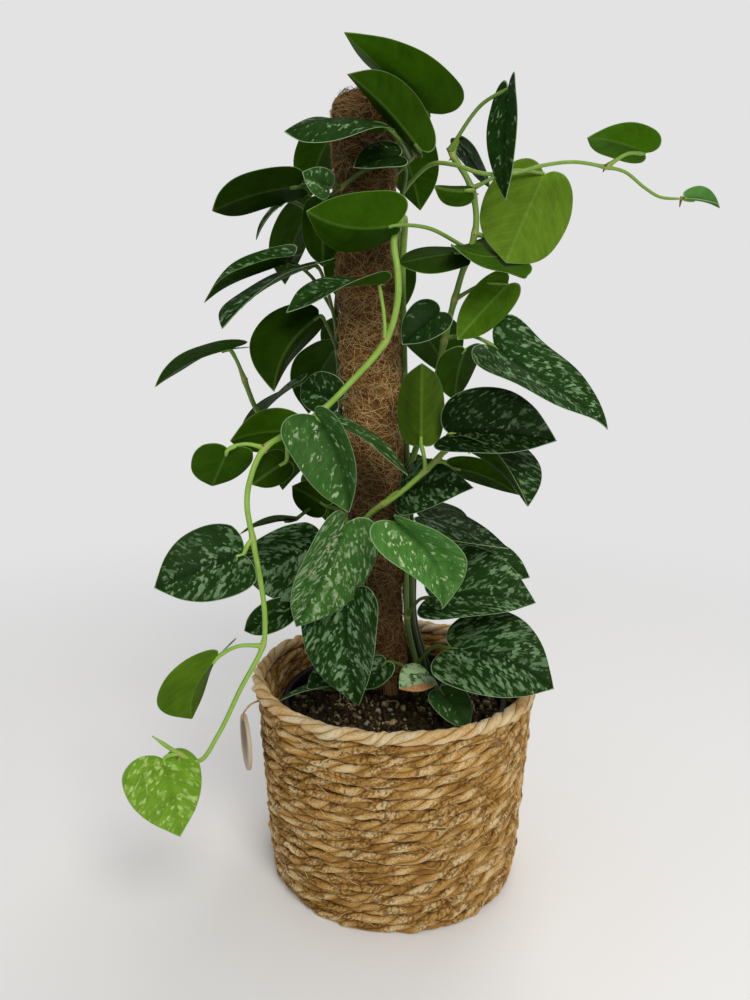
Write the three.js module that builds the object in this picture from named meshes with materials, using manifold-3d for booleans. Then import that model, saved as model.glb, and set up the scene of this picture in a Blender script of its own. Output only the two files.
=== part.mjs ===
// A satin pothos trained up a coir pole, in a black nursery pot that stands in a seagrass basket.
// Millimetres, +Z up, the front of the plant faces -Y. The origin is the middle of the basket's
// underside, where it stands.
import * as THREE from "three";
import { mergeVertices } from "three/addons/utils/BufferGeometryUtils.js";
import Module from "manifold-3d";

const wasm = await Module();
wasm.setup();

// Driving dimensions
const BASKET = {
  height: 172, topRadius: 118, baseRadius: 106, toe: 14, tuck: 4, wall: 6, rows: 18, ridge: 2.2, sides: 26,
};
const RIM = { radius: 118, strand: 6.2, lobe: 2.2, lenses: 26, steps: 78, around: 6 };
const POT = {
  floor: 9, height: 158, baseRadius: 72, topRadius: 94, wall: 1.8, lip: 3.5, lipHeight: 9, sides: 24,
  drains: 6, drainRadius: 5, drainRing: 45,
};
const SOIL = { level: 148, mound: 8, lump: 3.5, rings: 5 };
const POLE = {
  foot: 30, coirFoot: 180, neckTop: 250, top: 646, neck: 15.5, radius: 24,
  bend: 380, bendX: -19, leanBelow: 0.069, leanAbove: 0.03, y: 5,
};
const STAKE = { radius: 6.5, top: 372 };
const STEM = { radius: 2.4, root: 112, foot: 33, sides: 5, step: 32 };
const PETIOLE = { radius: 1.5, sides: 4, under: 6, step: 22 };
const BLADE = { half: 0.5, stations: 6, broad: 85 };
const TAG = { radius: 23, thickness: 3, angle: 197.5, distance: 131, z: 133, sides: 24 };
const GAP = 0.35;

const COLOURS = {
  seagrass: 0xb08a4e, plastic: 0x141414, soil: 0x2a1e16, wood: 0xa87f4c, coir: 0x7d5a37,
  leaf: 0x2f5d2b, youngLeaf: 0x5f9130, tag: 0x8d7456,
};

const rad = THREE.MathUtils.degToRad;
const vec = (x, y, z) => new THREE.Vector3(x, y, z);
const poleAxis = (z) => vec(poleX(z), POLE.y, z);

// A direction: an angle from +X in degrees and a rise above level.
function heading(angle, rise) {
  const level = Math.cos(rad(rise));
  return vec(level * Math.cos(rad(angle)), level * Math.sin(rad(angle)), Math.sin(rad(rise)));
}

// The places of what grows in front are read off one view of the plant, 750 wide and 1000 high,
// from an eye EYE.y in front of the pole: at(u, v, y) is the point seen at (u, v) whose depth is y.
const EYE = { x: -17, y: -690, z: 485, tilt: rad(12.54), focal: 850, u: 375, v: 500 };
function at(u, v, y) {
  const right = (u - EYE.u) / EYE.focal;
  const up = (EYE.v - v) / EYE.focal;
  const ahead = Math.cos(EYE.tilt) + up * Math.sin(EYE.tilt);
  const rise = up * Math.cos(EYE.tilt) - Math.sin(EYE.tilt);
  const reach = (y - EYE.y) / ahead;
  return vec(EYE.x + right * reach, y, EYE.z + rise * reach);
}

// A steady stream of numbers from 0 to 1, the same on every run.
function stream(seed) {
  let state = seed;
  return () => {
    state = (state * 16807) % 2147483647;
    return state / 2147483647;
  };
}

const poleX = (z) => POLE.bendX - (z < POLE.bend ? POLE.leanBelow : POLE.leanAbove) * (z - POLE.bend);
function poleRadius(z) {
  const rise = THREE.MathUtils.smoothstep(z, POLE.neckTop, POLE.neckTop + 22);
  return POLE.neck + (POLE.radius - POLE.neck) * rise;
}

// A point round the pole: an angle from +X in degrees, a distance from the pole's axis, a height.
function round(angle, distance, z) {
  return vec(poleX(z) + distance * Math.cos(rad(angle)), POLE.y + distance * Math.sin(rad(angle)), z);
}
const hug = (angle, z) => round(angle, Math.max(poleRadius(z), poleRadius(z + 40)) + STEM.radius + 1.3, z);

// A stem's lower part: straight up out of the soil, then against the pole up to a height.
function climb(angle, top) {
  const foot = round(angle, STEM.foot, STEM.root);
  const points = [0, 20, 40, 56].map((rise) => foot.clone().setZ(STEM.root + rise));
  for (let z = 225; z < top - 25; z += 50) points.push(hug(angle, z));
  points.push(hug(angle, top));
  return points;
}

// Closed meshes to solids and back.
function solid(geometry) {
  const bare = geometry.index ? geometry.toNonIndexed() : geometry;
  const plain = new THREE.BufferGeometry().setAttribute("position", bare.getAttribute("position"));
  const merged = mergeVertices(plain, 1e-3);
  const mesh = new wasm.Mesh({
    numProp: 3,
    vertProperties: merged.attributes.position.array,
    triVerts: new Uint32Array(merged.index.array),
  });
  return new wasm.Manifold(mesh);
}

// The largest body of a joined shape: the specks that a join can leave are dropped.
function geometryOf(shape) {
  const bodies = shape.decompose().sort((a, b) => b.volume() - a.volume());
  const mesh = bodies[0].getMesh();
  const position = new Float32Array(mesh.numVert * 3);
  for (let i = 0; i < mesh.numVert; i++) {
    position.set(mesh.vertProperties.subarray(i * mesh.numProp, i * mesh.numProp + 3), i * 3);
  }
  return new THREE.BufferGeometry()
    .setAttribute("position", new THREE.BufferAttribute(position, 3))
    .setIndex(new THREE.BufferAttribute(mesh.triVerts, 1));
}

const model = new THREE.Group();
function add(name, geometry, colour, roughness) {
  const material = new THREE.MeshStandardMaterial({ color: colour, roughness, metalness: 0 });
  const mesh = new THREE.Mesh(geometry, material);
  mesh.name = name;
  model.add(mesh);
  return mesh;
}

// Turned shapes: a closed profile of [radius, height] pairs, spun about Z.
function turned(profile, sides) {
  const points = profile.map(([r, z]) => new THREE.Vector2(r, z));
  return new THREE.LatheGeometry(points, sides).rotateX(Math.PI / 2);
}

function rod(from, to, radius, sides) {
  const length = from.distanceTo(to);
  const geometry = new THREE.CylinderGeometry(radius, radius, length, sides).translate(0, length / 2, 0);
  const turn = new THREE.Quaternion().setFromUnitVectors(vec(0, 1, 0), to.clone().sub(from).normalize());
  return geometry.applyQuaternion(turn).translate(from.x, from.y, from.z);
}

function polygon(radius, sides) {
  const shape = new THREE.Shape();
  for (let i = 0; i < sides; i++) {
    const angle = (2 * Math.PI * i) / sides;
    shape[i ? "lineTo" : "moveTo"](radius * Math.cos(angle), radius * Math.sin(angle));
  }
  shape.closePath();
  return shape;
}

function tube(curve, radius, sides, steps) {
  const section = polygon(radius, sides);
  return new THREE.ExtrudeGeometry(section, { extrudePath: curve, steps, bevelEnabled: false });
}

// The basket: seagrass cords laid in rows, the wall leaning in to a rounded toe at the base.
function wallRadius(z) {
  const toe = 1 - THREE.MathUtils.clamp(z / BASKET.toe, 0, 1);
  const lean = BASKET.baseRadius + (BASKET.topRadius - BASKET.baseRadius) * Math.pow(z / BASKET.height, 0.8);
  return lean - BASKET.tuck * toe * toe;
}
function basket() {
  const pitch = BASKET.height / BASKET.rows;
  const profile = [[0, 0], [wallRadius(0) - 1, 0]];
  for (let row = 0; row < BASKET.rows; row++) {
    const z = (row + 0.5) * pitch;
    profile.push([wallRadius(z) + BASKET.ridge / 2, z]);
    if (row < BASKET.rows - 1) profile.push([wallRadius(z + pitch / 2) - BASKET.ridge, z + pitch / 2]);
  }
  profile.push([BASKET.topRadius - 1, BASKET.height], [BASKET.topRadius - BASKET.wall, BASKET.height]);
  profile.push([wallRadius(90) - BASKET.wall, 90], [wallRadius(20) - BASKET.wall, 20]);
  profile.push([wallRadius(20) - BASKET.wall - 6, POT.floor - GAP], [0, POT.floor - GAP]);
  return turned(profile, BASKET.sides);
}

// The rim: one thick cord of two twisted strands, sewn round the top row.
function rimCord() {
  const { steps, around } = RIM;
  const position = [];
  const index = [];
  const middle = BASKET.height + GAP + RIM.strand * Math.sin(rad(60));
  for (let i = 0; i < steps; i++) {
    const turn = (2 * Math.PI * i) / steps;
    for (let j = 0; j < around; j++) {
      const side = (2 * Math.PI * j) / around;
      const twist = Math.cos(2 * side - RIM.lenses * turn);
      const r = RIM.strand - RIM.lobe / 2 + (RIM.lobe / 2) * twist;
      const out = RIM.radius - 1 + r * Math.cos(side);
      position.push(out * Math.cos(turn), out * Math.sin(turn), middle + r * Math.sin(side));
      const next = ((i + 1) % steps) * around;
      const a = i * around + j;
      const b = i * around + ((j + 1) % around);
      const c = next + j;
      const d = next + ((j + 1) % around);
      index.push(a, c, b, b, c, d);
    }
  }
  return new THREE.BufferGeometry()
    .setAttribute("position", new THREE.Float32BufferAttribute(position, 3))
    .setIndex(index);
}

// The nursery pot: a thin tapered shell with a rolled lip, and holes in its floor.
function nurseryPot() {
  const { floor, height, baseRadius: low, topRadius: top, wall, lip, lipHeight } = POT;
  const shell = turned([
    [0, floor], [low, floor], [top, height - lipHeight], [top + lip, height - lipHeight],
    [top + lip, height], [top - wall, height], [top - wall, height - lipHeight],
    [low - wall, floor + wall], [0, floor + wall],
  ], POT.sides);
  let pot = solid(shell);
  for (let i = 0; i < POT.drains; i++) {
    const angle = (2 * Math.PI * i) / POT.drains;
    const under = vec(POT.drainRing * Math.cos(angle), POT.drainRing * Math.sin(angle), floor - wall);
    const over = under.clone().setZ(floor + 2 * wall);
    pot = pot.subtract(solid(rod(under, over, POT.drainRadius, 8)));
  }
  return geometryOf(pot);
}

// The potting soil: it fills the pot, is heaped round the pole, and is lumpy on top.
function soilHeight(distance, lump) {
  const share = distance / POT.topRadius;
  return SOIL.level + SOIL.mound * (1 - share * share) + lump;
}
function soilBlock() {
  const next = stream(11);
  const bed = POT.floor + POT.wall + GAP;
  const inner = (z) => {
    const share = Math.min(1, (z - POT.floor) / (POT.height - POT.lipHeight - POT.floor));
    return POT.baseRadius + (POT.topRadius - POT.baseRadius) * share - POT.wall - GAP;
  };
  const position = [0, 0, soilHeight(0, 0)];
  const index = [];
  for (let ring = 1; ring <= SOIL.rings; ring++) {
    const r = (inner(SOIL.level) * ring) / SOIL.rings;
    for (let i = 0; i < POT.sides; i++) {
      const angle = (2 * Math.PI * (i + 0.5 * ((SOIL.rings - ring) % 2))) / POT.sides;
      const lump = ring < SOIL.rings ? (next() - 0.5) * 2 * SOIL.lump : 0;
      position.push(r * Math.cos(angle), r * Math.sin(angle), soilHeight(r, lump));
    }
  }
  for (let i = 0; i < POT.sides; i++) {
    const angle = (2 * Math.PI * i) / POT.sides;
    position.push(inner(bed) * Math.cos(angle), inner(bed) * Math.sin(angle), bed);
  }
  const bottom = position.length / 3;
  position.push(0, 0, bed);
  const start = (ring) => 1 + (ring - 1) * POT.sides;
  for (let i = 0; i < POT.sides; i++) {
    const j = (i + 1) % POT.sides;
    index.push(0, start(1) + i, start(1) + j);
    for (let ring = 1; ring <= SOIL.rings; ring++) {
      const a = start(ring) + i;
      const b = start(ring) + j;
      const c = start(ring + 1) + i;
      const d = start(ring + 1) + j;
      if ((SOIL.rings - ring) % 2) index.push(a, c, d, a, d, b);
      else index.push(a, c, b, b, c, d);
    }
    index.push(bottom, start(SOIL.rings + 1) + j, start(SOIL.rings + 1) + i);
  }
  return new THREE.BufferGeometry()
    .setAttribute("position", new THREE.Float32BufferAttribute(position, 3))
    .setIndex(index);
}

// The coir pole: a stake with a thick sleeve of coconut fibre, slimmer at its foot, closed on top.
function coirSleeve() {
  const rings = [];
  for (const z of [POLE.coirFoot, 196, 215, 235, POLE.neckTop, 261, 272, 300]) rings.push([z, poleRadius(z)]);
  for (let z = 350; z < POLE.top - 40; z += 50) rings.push([z, POLE.radius]);
  rings.push([POLE.top - 16, POLE.radius], [POLE.top - 5, POLE.radius * 0.86]);
  rings.push([POLE.top, POLE.radius * 0.55]);
  const sides = 14;
  const position = [];
  const index = [];
  rings.forEach(([z, radius], k) => {
    for (let i = 0; i < sides; i++) {
      const angle = (2 * Math.PI * i) / sides;
      const wave = 0.7 * Math.sin(3 * angle + k * 1.7) - 0.7;
      position.push(poleX(z) + (radius + wave) * Math.cos(angle));
      position.push(POLE.y + (radius + wave) * Math.sin(angle), z);
      if (k === rings.length - 1) continue;
      const j = (i + 1) % sides;
      index.push(k * sides + i, k * sides + j, (k + 1) * sides + i);
      index.push(k * sides + j, (k + 1) * sides + j, (k + 1) * sides + i);
    }
  });
  const foot = position.length / 3;
  position.push(poleX(POLE.coirFoot), POLE.y, POLE.coirFoot, poleX(POLE.top), POLE.y, POLE.top + 1);
  const last = (rings.length - 1) * sides;
  for (let i = 0; i < sides; i++) {
    const j = (i + 1) % sides;
    index.push(foot, j, i, foot + 1, last + i, last + j);
  }
  const sleeve = new THREE.BufferGeometry()
    .setAttribute("position", new THREE.Float32BufferAttribute(position, 3))
    .setIndex(index);
  const bore = rod(poleAxis(POLE.coirFoot - 5), poleAxis(STAKE.top + GAP), STAKE.radius + GAP, 10);
  return geometryOf(solid(sleeve).subtract(solid(bore)));
}

// A leaf blade. base is where the petiole joins it, in the notch between its lobes, and share is its
// width over its length. turn rolls the blade about its midrib: at 0 its upper side faces the eye, at
// 180 its underside, and a positive turn leans the upper side to the right of the way the tip points.
// With sky, 0 faces straight up. twist is the turn that the blade gains by its tip. fold lifts both
// halves from the midrib, arch bows the midrib up and sweep bows it to the left. lobe lengthens the
// lobes behind the base, belly moves the widest place towards the tip, lean widens the left half and
// narrows the right one, and wave ripples the margin.
const MARGIN = new THREE.SplineCurve([
  [0, 0], [-0.08, 0.2], [-0.1, 0.5], [-0.02, 0.8], [0.15, 0.98], [0.35, 1],
  [0.58, 0.88], [0.78, 0.6], [0.93, 0.21], [1, 0],
].map(([along, across]) => new THREE.Vector2(along, across)));

// The way the blade points, the side that it shows at a turn of 0, and its length.
function bladeFrame(leaf) {
  const x = leaf.tip.clone().sub(leaf.base);
  const length = x.length();
  x.normalize();
  const middle = leaf.base.clone().add(leaf.tip).multiplyScalar(0.5);
  const facing = leaf.sky ? vec(0, 0, 1) : vec(EYE.x, EYE.y, EYE.z).sub(middle).normalize();
  const normal = facing.addScaledVector(x, -facing.dot(x)).normalize();
  return { x, normal, length };
}

// A point of the blade: along runs from base to tip, out from the midrib to the margin, and side is
// 1 on the left half and -1 on the right.
function bladePoint(leaf, frame, along, side, out) {
  const { share, fold, twist = 0, arch = 0.08, sweep = 0, lobe = 1, belly = 0, lean = 0, wave = 0.05 } = leaf;
  const { length } = frame;
  const margin = MARGIN.getPoint(along);
  const behind = Math.min(margin.x, 0) * lobe;
  const ahead = Math.max(margin.x, 0);
  const edge = behind + ahead + belly * ahead * (1 - ahead);
  const s = along * (1 - out) + edge * out;
  const across = margin.y * out * (share / 2) * (1 + side * lean) * length * side;
  const bow = 4 * s * (1 - s);
  const fan = rad(fold) * Math.min(1, 0.4 + out);
  const ripple = wave * length * 0.5 * out * out * margin.y * Math.sin(7 * along + side + leaf.phase);
  const y = across * Math.cos(fan) + sweep * length * bow;
  const z = Math.abs(across) * Math.sin(fan) + arch * length * bow + ripple;
  const roll = rad(leaf.turn + twist * s);
  const up = frame.normal.clone().multiplyScalar(Math.cos(roll))
    .addScaledVector(frame.x.clone().cross(frame.normal), Math.sin(roll));
  const left = up.clone().cross(frame.x);
  return leaf.base.clone().addScaledVector(frame.x, s * length)
    .addScaledVector(left, y).addScaledVector(up, z);
}

function blade(leaf) {
  const frame = bladeFrame(leaf);
  const n = BLADE.stations;
  const outs = frame.length > BLADE.broad ? [0.55, 1] : [1];
  const rows = [];
  const points = [];
  const put = (p) => points.push(p) - 1;
  for (let i = 0; i <= n; i++) {
    const along = i / n;
    const centre = put(bladePoint(leaf, frame, along, 1, 0));
    const ends = i === 0 || i === n;
    const reach = (side, out) => (ends ? centre : put(bladePoint(leaf, frame, along, side, out)));
    rows.push([1, -1].map((side) => [centre, ...outs.map((out) => reach(side, out))]));
  }
  const faces = [];
  const face = (a, b, c) => a !== b && b !== c && a !== c && faces.push([a, b, c]);
  for (let i = 0; i < n; i++) {
    for (let k = 0; k < outs.length; k++) {
      const [left, right] = rows[i];
      const [nextLeft, nextRight] = rows[i + 1];
      face(left[k], nextLeft[k], left[k + 1]);
      face(left[k + 1], nextLeft[k], nextLeft[k + 1]);
      face(right[k], right[k + 1], nextRight[k]);
      face(right[k + 1], nextRight[k + 1], nextRight[k]);
    }
  }
  const normals = points.map(() => vec(0, 0, 0));
  for (const [a, b, c] of faces) {
    const cross = points[b].clone().sub(points[a]).cross(points[c].clone().sub(points[a]));
    for (const i of [a, b, c]) normals[i].add(cross);
  }
  const m = outs.length;
  const rim = [];
  for (let i = 0; i < n; i++) rim.push([rows[i][0][m], rows[i + 1][0][m]]);
  for (let i = n; i > 0; i--) rim.push([rows[i][1][m], rows[i - 1][1][m]]);
  const position = [];
  for (const lift of [BLADE.half, -BLADE.half]) {
    points.forEach((p, i) => {
      const skin = p.clone().addScaledVector(normals[i].normalize(), lift);
      position.push(...skin.toArray());
    });
  }
  const under = points.length;
  const index = faces.flatMap(([a, b, c]) => [a, b, c, a + under, c + under, b + under]);
  for (const [a, b] of rim) index.push(a, b, a + under, b, b + under, a + under);
  return new THREE.BufferGeometry()
    .setAttribute("position", new THREE.Float32BufferAttribute(position, 3))
    .setIndex(index);
}

// A petiole leaves the stem at the point nearest to from, bends by way of by, and runs on under the
// blade's midrib for a little. joints are the stem's sections.
function petiole(leaf, joints) {
  let start = joints[0];
  for (let i = 1; i < joints.length; i++) {
    const near = new THREE.Line3(joints[i - 1], joints[i]).closestPointToPoint(leaf.from, true, vec());
    if (near.distanceTo(leaf.from) < start.distanceTo(leaf.from)) start = near;
  }
  const frame = bladeFrame(leaf);
  const mid = bladePoint(leaf, frame, Math.min(0.5, PETIOLE.under / frame.length), 1, 0);
  const sag = vec(0, 0, start.distanceTo(leaf.base) * 0.12);
  const bend = leaf.by ?? start.clone().lerp(leaf.base, 0.55).add(sag);
  const path = new THREE.CatmullRomCurve3([start, bend, leaf.base.clone(), mid], false, "centripetal");
  const steps = THREE.MathUtils.clamp(Math.round(path.getLength() / PETIOLE.step), 3, 6);
  return tube(path, leaf.small ? PETIOLE.radius * 0.75 : PETIOLE.radius, PETIOLE.sides, steps);
}

// One leafy stem: its stem, petioles and blades joined into one body.
function vine(name, stem, leaves, colour = COLOURS.leaf) {
  const curve = new THREE.CatmullRomCurve3(stem, false, "centripetal");
  const steps = Math.round(curve.getLength() / STEM.step) + 2;
  const joints = curve.getSpacedPoints(steps);
  let shape = solid(tube(curve, STEM.radius, STEM.sides, steps));
  leaves.forEach((leaf, i) => {
    leaf.phase ??= 1.9 * i;
    shape = shape.add(solid(petiole(leaf, joints))).add(solid(blade(leaf)));
  });
  add(name, geometryOf(shape.simplify(0.05)), colour, 0.45);
}

// Leaves on the far side, which the view doesn't show: one at each height, to the left and right of
// the stem in turn, held out on its petiole with its tip hanging.
function farLeaves({ angle, low, high, step, seed }) {
  const next = stream(seed);
  const leaves = [];
  let side = 1;
  for (let z = low; z <= high; z += step) {
    side = -side;
    const way = angle + side * 26 + (next() - 0.5) * 16;
    const rise = 38 + next() * 14;
    const reach = 40 + next() * 26;
    const droop = 38 + next() * 22;
    const length = 88 - (z - 200) * 0.045 + (next() - 0.5) * 16;
    const from = hug(angle, z);
    const base = from.clone().addScaledVector(heading(way, rise), reach);
    const tip = base.clone().addScaledVector(heading(way, -droop), length);
    leaves.push({ from, base, tip, sky: true, turn: (next() - 0.5) * 30, fold: 10, share: 0.77, arch: 0.1 });
  }
  return leaves;
}

// What the view shows: each leaf as the place on the stem it comes from, its base and its tip.
const grow = (...points) => points.map(([u, v, y]) => at(u, v, y));
const sprout = ([from, base, tip, options]) => ({
  from: at(...from), base: at(...base), tip: at(...tip), ...options,
});
const sproutAll = (rows) => rows.map(sprout);

// The pole's top: the leaves that stand above it.
vine("top_vine", [...climb(62, 575), ...grow([410, 158, 8], [419, 146, -2], [427, 132, -6])], sproutAll([
  [[424, 136, -5], [429, 113, -8], [344, 32, -55], {
    turn: 117, fold: 20, share: 0.95, arch: 0, belly: -0.3,
  }],
  [[415, 152, 2], [420, 150, -30], [347, 74, -62], { turn: 149, fold: 47, share: 0.58, belly: 0.2 }],
  [[409, 158, 8], [381, 123, -44], [284, 132, -61], {
    by: at(398, 138, -34), turn: 88, twist: -18, fold: -15, share: 0.8, lobe: 0.8, belly: 0.35,
    wave: 0.1, phase: 4.4,
  }],
]));

// The runner that reaches out to the right from the pole's top.
vine("runner_vine", [
  ...climb(41, 560),
  ...grow([428, 166, -12], [455, 165, -32], [480, 173, -42], [510, 174, -46], [545, 165, -42]),
  ...grow([575, 162, -34], [605, 167, -28], [625, 172, -24], [645, 188, -22], [660, 197, -20]),
  ...grow([684, 199, -20]),
], sproutAll([
  [[607, 168, -28], [645, 153, -20], [587, 138, -35], { turn: 130, fold: 7, share: 0.88, belly: -0.15 }],
  [[680, 199, -20], [687, 199, -20], [720, 208, -18], {
    turn: -63, fold: 33, share: 0.8, lobe: 1.2, small: true,
  }],
]));

// The bright vine: up the pole's right side, over its front and down to the left, past the basket.
vine("trailing_vine", [
  ...climb(0, 515),
  ...grow([404, 218, -26], [394, 240, -44], [398, 275, -52], [397, 305, -52], [386, 340, -50]),
  ...grow([350, 383, -55], [318, 414, -62], [290, 432, -68], [264, 449, -75], [250, 480, -80]),
  ...grow([247, 505, -84], [253, 540, -88], [262, 590, -92], [265, 620, -95], [263, 645, -100]),
  ...grow([240, 690, -105], [218, 735, -108], [199, 761, -110], [178, 753, -112], [152, 736, -113]),
], sproutAll([
  [[385, 342, -50], [379, 284, -60], [286, 313, -85], {
    by: at(384, 315, -52), turn: 98, twist: -45, fold: 14, share: 0.65, arch: 0.09,
  }],
  [[322, 410, -61], [316, 416, -80], [349, 513, -90], {
    turn: 30, fold: 39, share: 0.87, sweep: 0.14, lobe: 0.8, belly: -0.26,
  }],
  [[264, 449, -75], [228, 449, -84], [212, 486, -58], {
    turn: 156, fold: 3, share: 0.97, arch: 0, belly: 0.3,
  }],
  [[318, 414, -62], [330, 421, -57], [408, 476, -58], { turn: -74, fold: 6, share: 0.6 }],
  [[288, 433, -68], [286, 461, -62], [252, 485, -72], { turn: 173, fold: 16, share: 0.87 }],
  [[253, 538, -88], [243, 554, -94], [154, 588, -120], { turn: 15, fold: 5, share: 0.85, lobe: 0.6 }],
  [[263, 645, -100], [218, 656, -106], [192, 719, -98], {
    turn: 118, fold: 15, share: 1.15, arch: 0.05, sweep: 0.15, lobe: 1.2, belly: 0.26,
  }],
  [[180, 754, -112], [164, 759, -114], [180, 837, -150], {
    turn: -5, fold: 6, share: 0.98, lean: -0.15, belly: -0.25,
  }],
]), COLOURS.youngLeaf);

// The right-hand vine.
vine("right_vine", [
  ...climb(-22, 345),
  ...grow([432, 400, -5], [445, 337, -15], [460, 280, -20], [476, 225, -22], [470, 185, -20]),
  ...grow([447, 148, -15]),
], sproutAll([
  [[470, 250, -21], [396, 225, -54], [306, 211, -92], {
    by: at(428, 228, -44), turn: 160, fold: 24, share: 0.72, arch: 0.02, sweep: -0.1, belly: -0.3,
  }],
  [[445, 337, -15], [494, 346, -26], [608, 430, -52], {
    turn: -37, twist: -40, fold: 18, share: 0.73, sweep: -0.09, lean: -0.1, wave: 0.14, phase: 6.1,
  }],
  [[436, 378, -8], [465, 349, -30], [455, 401, -14], {
    by: at(452, 360, -22), turn: 137, fold: 3, share: 0.95, lobe: 0.9,
  }],
  [[462, 300, -19], [508, 284, -30], [457, 340, -40], { turn: 173, fold: 15, share: 0.6 }],
  [[476, 232, -22], [511, 256, -32], [451, 244, -68], {
    turn: 249, fold: 5, share: 0.95, lobe: 1.7, belly: -0.4, wave: 0.14,
  }],
  [[471, 190, -20], [544, 174, -14], [506, 263, -50], { turn: 175, fold: 20, share: 0.87 }],
  [[448, 150, -15], [508, 88, -58], [506, 201, -65], { turn: 62, fold: 6, share: 0.52, arch: 0.03 }],
  [[452, 156, -16], [460, 141, -2], [490, 188, 10], { turn: 66, fold: 4, share: 0.78, arch: 0 }],
  [[471, 195, -21], [472, 191, -34], [434, 186, -45], { turn: 212, fold: 40, share: 0.74, arch: 0.1 }],
  [[466, 262, -21], [462, 254, -34], [398, 264, -42], {
    turn: 242, fold: 4, share: 0.82, arch: -0.02, lobe: 0.7, belly: 0.4,
  }],
  [[444, 340, -15], [440, 312, -30], [402, 345, -42], { turn: 24, fold: 10, share: 0.85 }],
]));

// The vine in front of the pole, at half height.
vine("front_vine", [
  ...climb(-144, 290),
  round(-120, 31, 312),
  ...grow([372, 512, -38], [400, 493, -50], [440, 456, -50], [447, 445, -48]),
], sproutAll([
  [[446, 450, -46], [449, 434, -60], [557, 441, -84], { turn: -35, fold: 28, share: 0.87 }],
  [[425, 470, -43], [421, 444, -52], [422, 363, -73], { turn: 181, fold: 40, share: 0.72, lobe: 0.6 }],
  [[435, 462, -44], [453, 467, -48], [519, 495, -64], { turn: -119, fold: 2, share: 0.7, belly: -0.35 }],
  [[442, 456, -44], [464, 448, -62], [528, 507, -96], {
    turn: -75, fold: 30, share: 0.97, lean: 0.25, belly: 0.45,
  }],
  [[385, 503, -44], [403, 491, -31], [474, 488, -62], {
    turn: -24, fold: 5, share: 0.76, arch: 0.15, belly: -0.45,
  }],
]));

// The lower right vine.
vine("low_right_vine", climb(-42, 335), sproutAll([
  [[395, 545, -20], [398, 523, -90], [442, 610, -90], {
    by: at(394, 552, -60), turn: 19, twist: -55, fold: 45, share: 0.78, sweep: 0.13, lobe: 1.1,
    wave: 0.1, phase: 0.4,
  }],
  [[395, 514, -20], [424, 517, -46], [509, 549, -54], {
    turn: -68, fold: 3, share: 0.75, arch: 0.02, belly: -0.3,
  }],
  [[395, 620, -20], [430, 597, -42], [536, 603, -64], { turn: -39, fold: 23, share: 0.96, lobe: 0.8 }],
  [[395, 560, -20], [462, 556, -14], [530, 578, -30], { turn: -45, fold: 8, share: 0.8 }],
  [[395, 670, -20], [451, 648, -64], [554, 689, -91], { turn: -33, fold: 8, share: 0.96, sweep: 0.05 }],
  [[395, 690, -20], [427, 674, -52], [399, 689, -72], { turn: 24, fold: 4, share: 0.93, wave: 0.12 }],
  [[395, 690, -20], [440, 690, -58], [469, 728, -76], { turn: -20, fold: 10, share: 0.85 }],
  [[395, 690, -20], [386, 662, -34], [366, 690, -44], { turn: 20, fold: 8, share: 0.85 }],
]));

// The lower left vine.
vine("low_left_vine", climb(-167, 345), sproutAll([
  [[352, 535, -18], [346, 523, -74], [296, 627, -80], { turn: -46, fold: 16, share: 0.87, arch: 0.03 }],
  [[352, 610, -18], [347, 598, -60], [359, 706, -84], { turn: 39, fold: 15, share: 0.97, belly: -0.4 }],
  [[352, 560, -18], [321, 542, -54], [239, 571, -46], { turn: -19, fold: 35, share: 1.02, lobe: 0.6 }],
  [[352, 620, -18], [291, 608, -66], [244, 631, -64], { turn: 4, fold: 32, share: 0.68, lobe: 0.7 }],
  [[352, 515, -18], [292, 520, -62], [240, 534, -78], { turn: 96, fold: 6, share: 0.8 }],
  [[352, 500, -18], [326, 506, -44], [292, 486, -52], { turn: 170, fold: 8, share: 0.9 }],
  [[352, 690, -18], [330, 688, -44], [278, 702, -56], { turn: 84, fold: 6, share: 0.7 }],
  [[352, 690, -18], [338, 670, -40], [307, 689, -50], { turn: 30, fold: 8, share: 0.8 }],
]));

// The left-hand vine, which leaves the pole and turns up.
vine("left_vine", [
  ...climb(177, 375),
  ...grow([300, 443, -8], [275, 430, -16], [258, 412, -23], [247, 387, -28], [240, 366, -28]),
], sproutAll([
  [[244, 378, -28], [229, 349, -28], [155, 387, -38], { turn: 104, fold: 10, share: 0.72, lobe: 2.3 }],
  [[318, 445, -6], [293, 431, -36], [230, 441, -66], { turn: 139, fold: 4, share: 0.77 }],
  [[306, 444, -7], [338, 401, -34], [301, 385, -16], {
    by: at(318, 418, -16), turn: 8, fold: 19, share: 0.95,
  }],
]));

// The vine up the pole's left side.
vine("upper_left_vine", climb(160, 500), sproutAll([
  [[336, 352, 4], [319, 316, -52], [274, 392, -102], {
    by: at(328, 328, -30), turn: 151, fold: 48, share: 0.77, sweep: 0.07, belly: 0.13,
  }],
  [[336, 330, 4], [314, 265, -54], [222, 329, -100], {
    turn: 81, fold: 6, share: 0.71, arch: 0.06, sweep: -0.09, lean: -0.25, belly: 0.2,
  }],
  [[336, 318, 4], [288, 261, -34], [204, 303, -44], {
    turn: 69, twist: 26, fold: 26, share: 0.64, arch: 0.07, sweep: 0.15, lobe: 1.7,
  }],
]));

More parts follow.
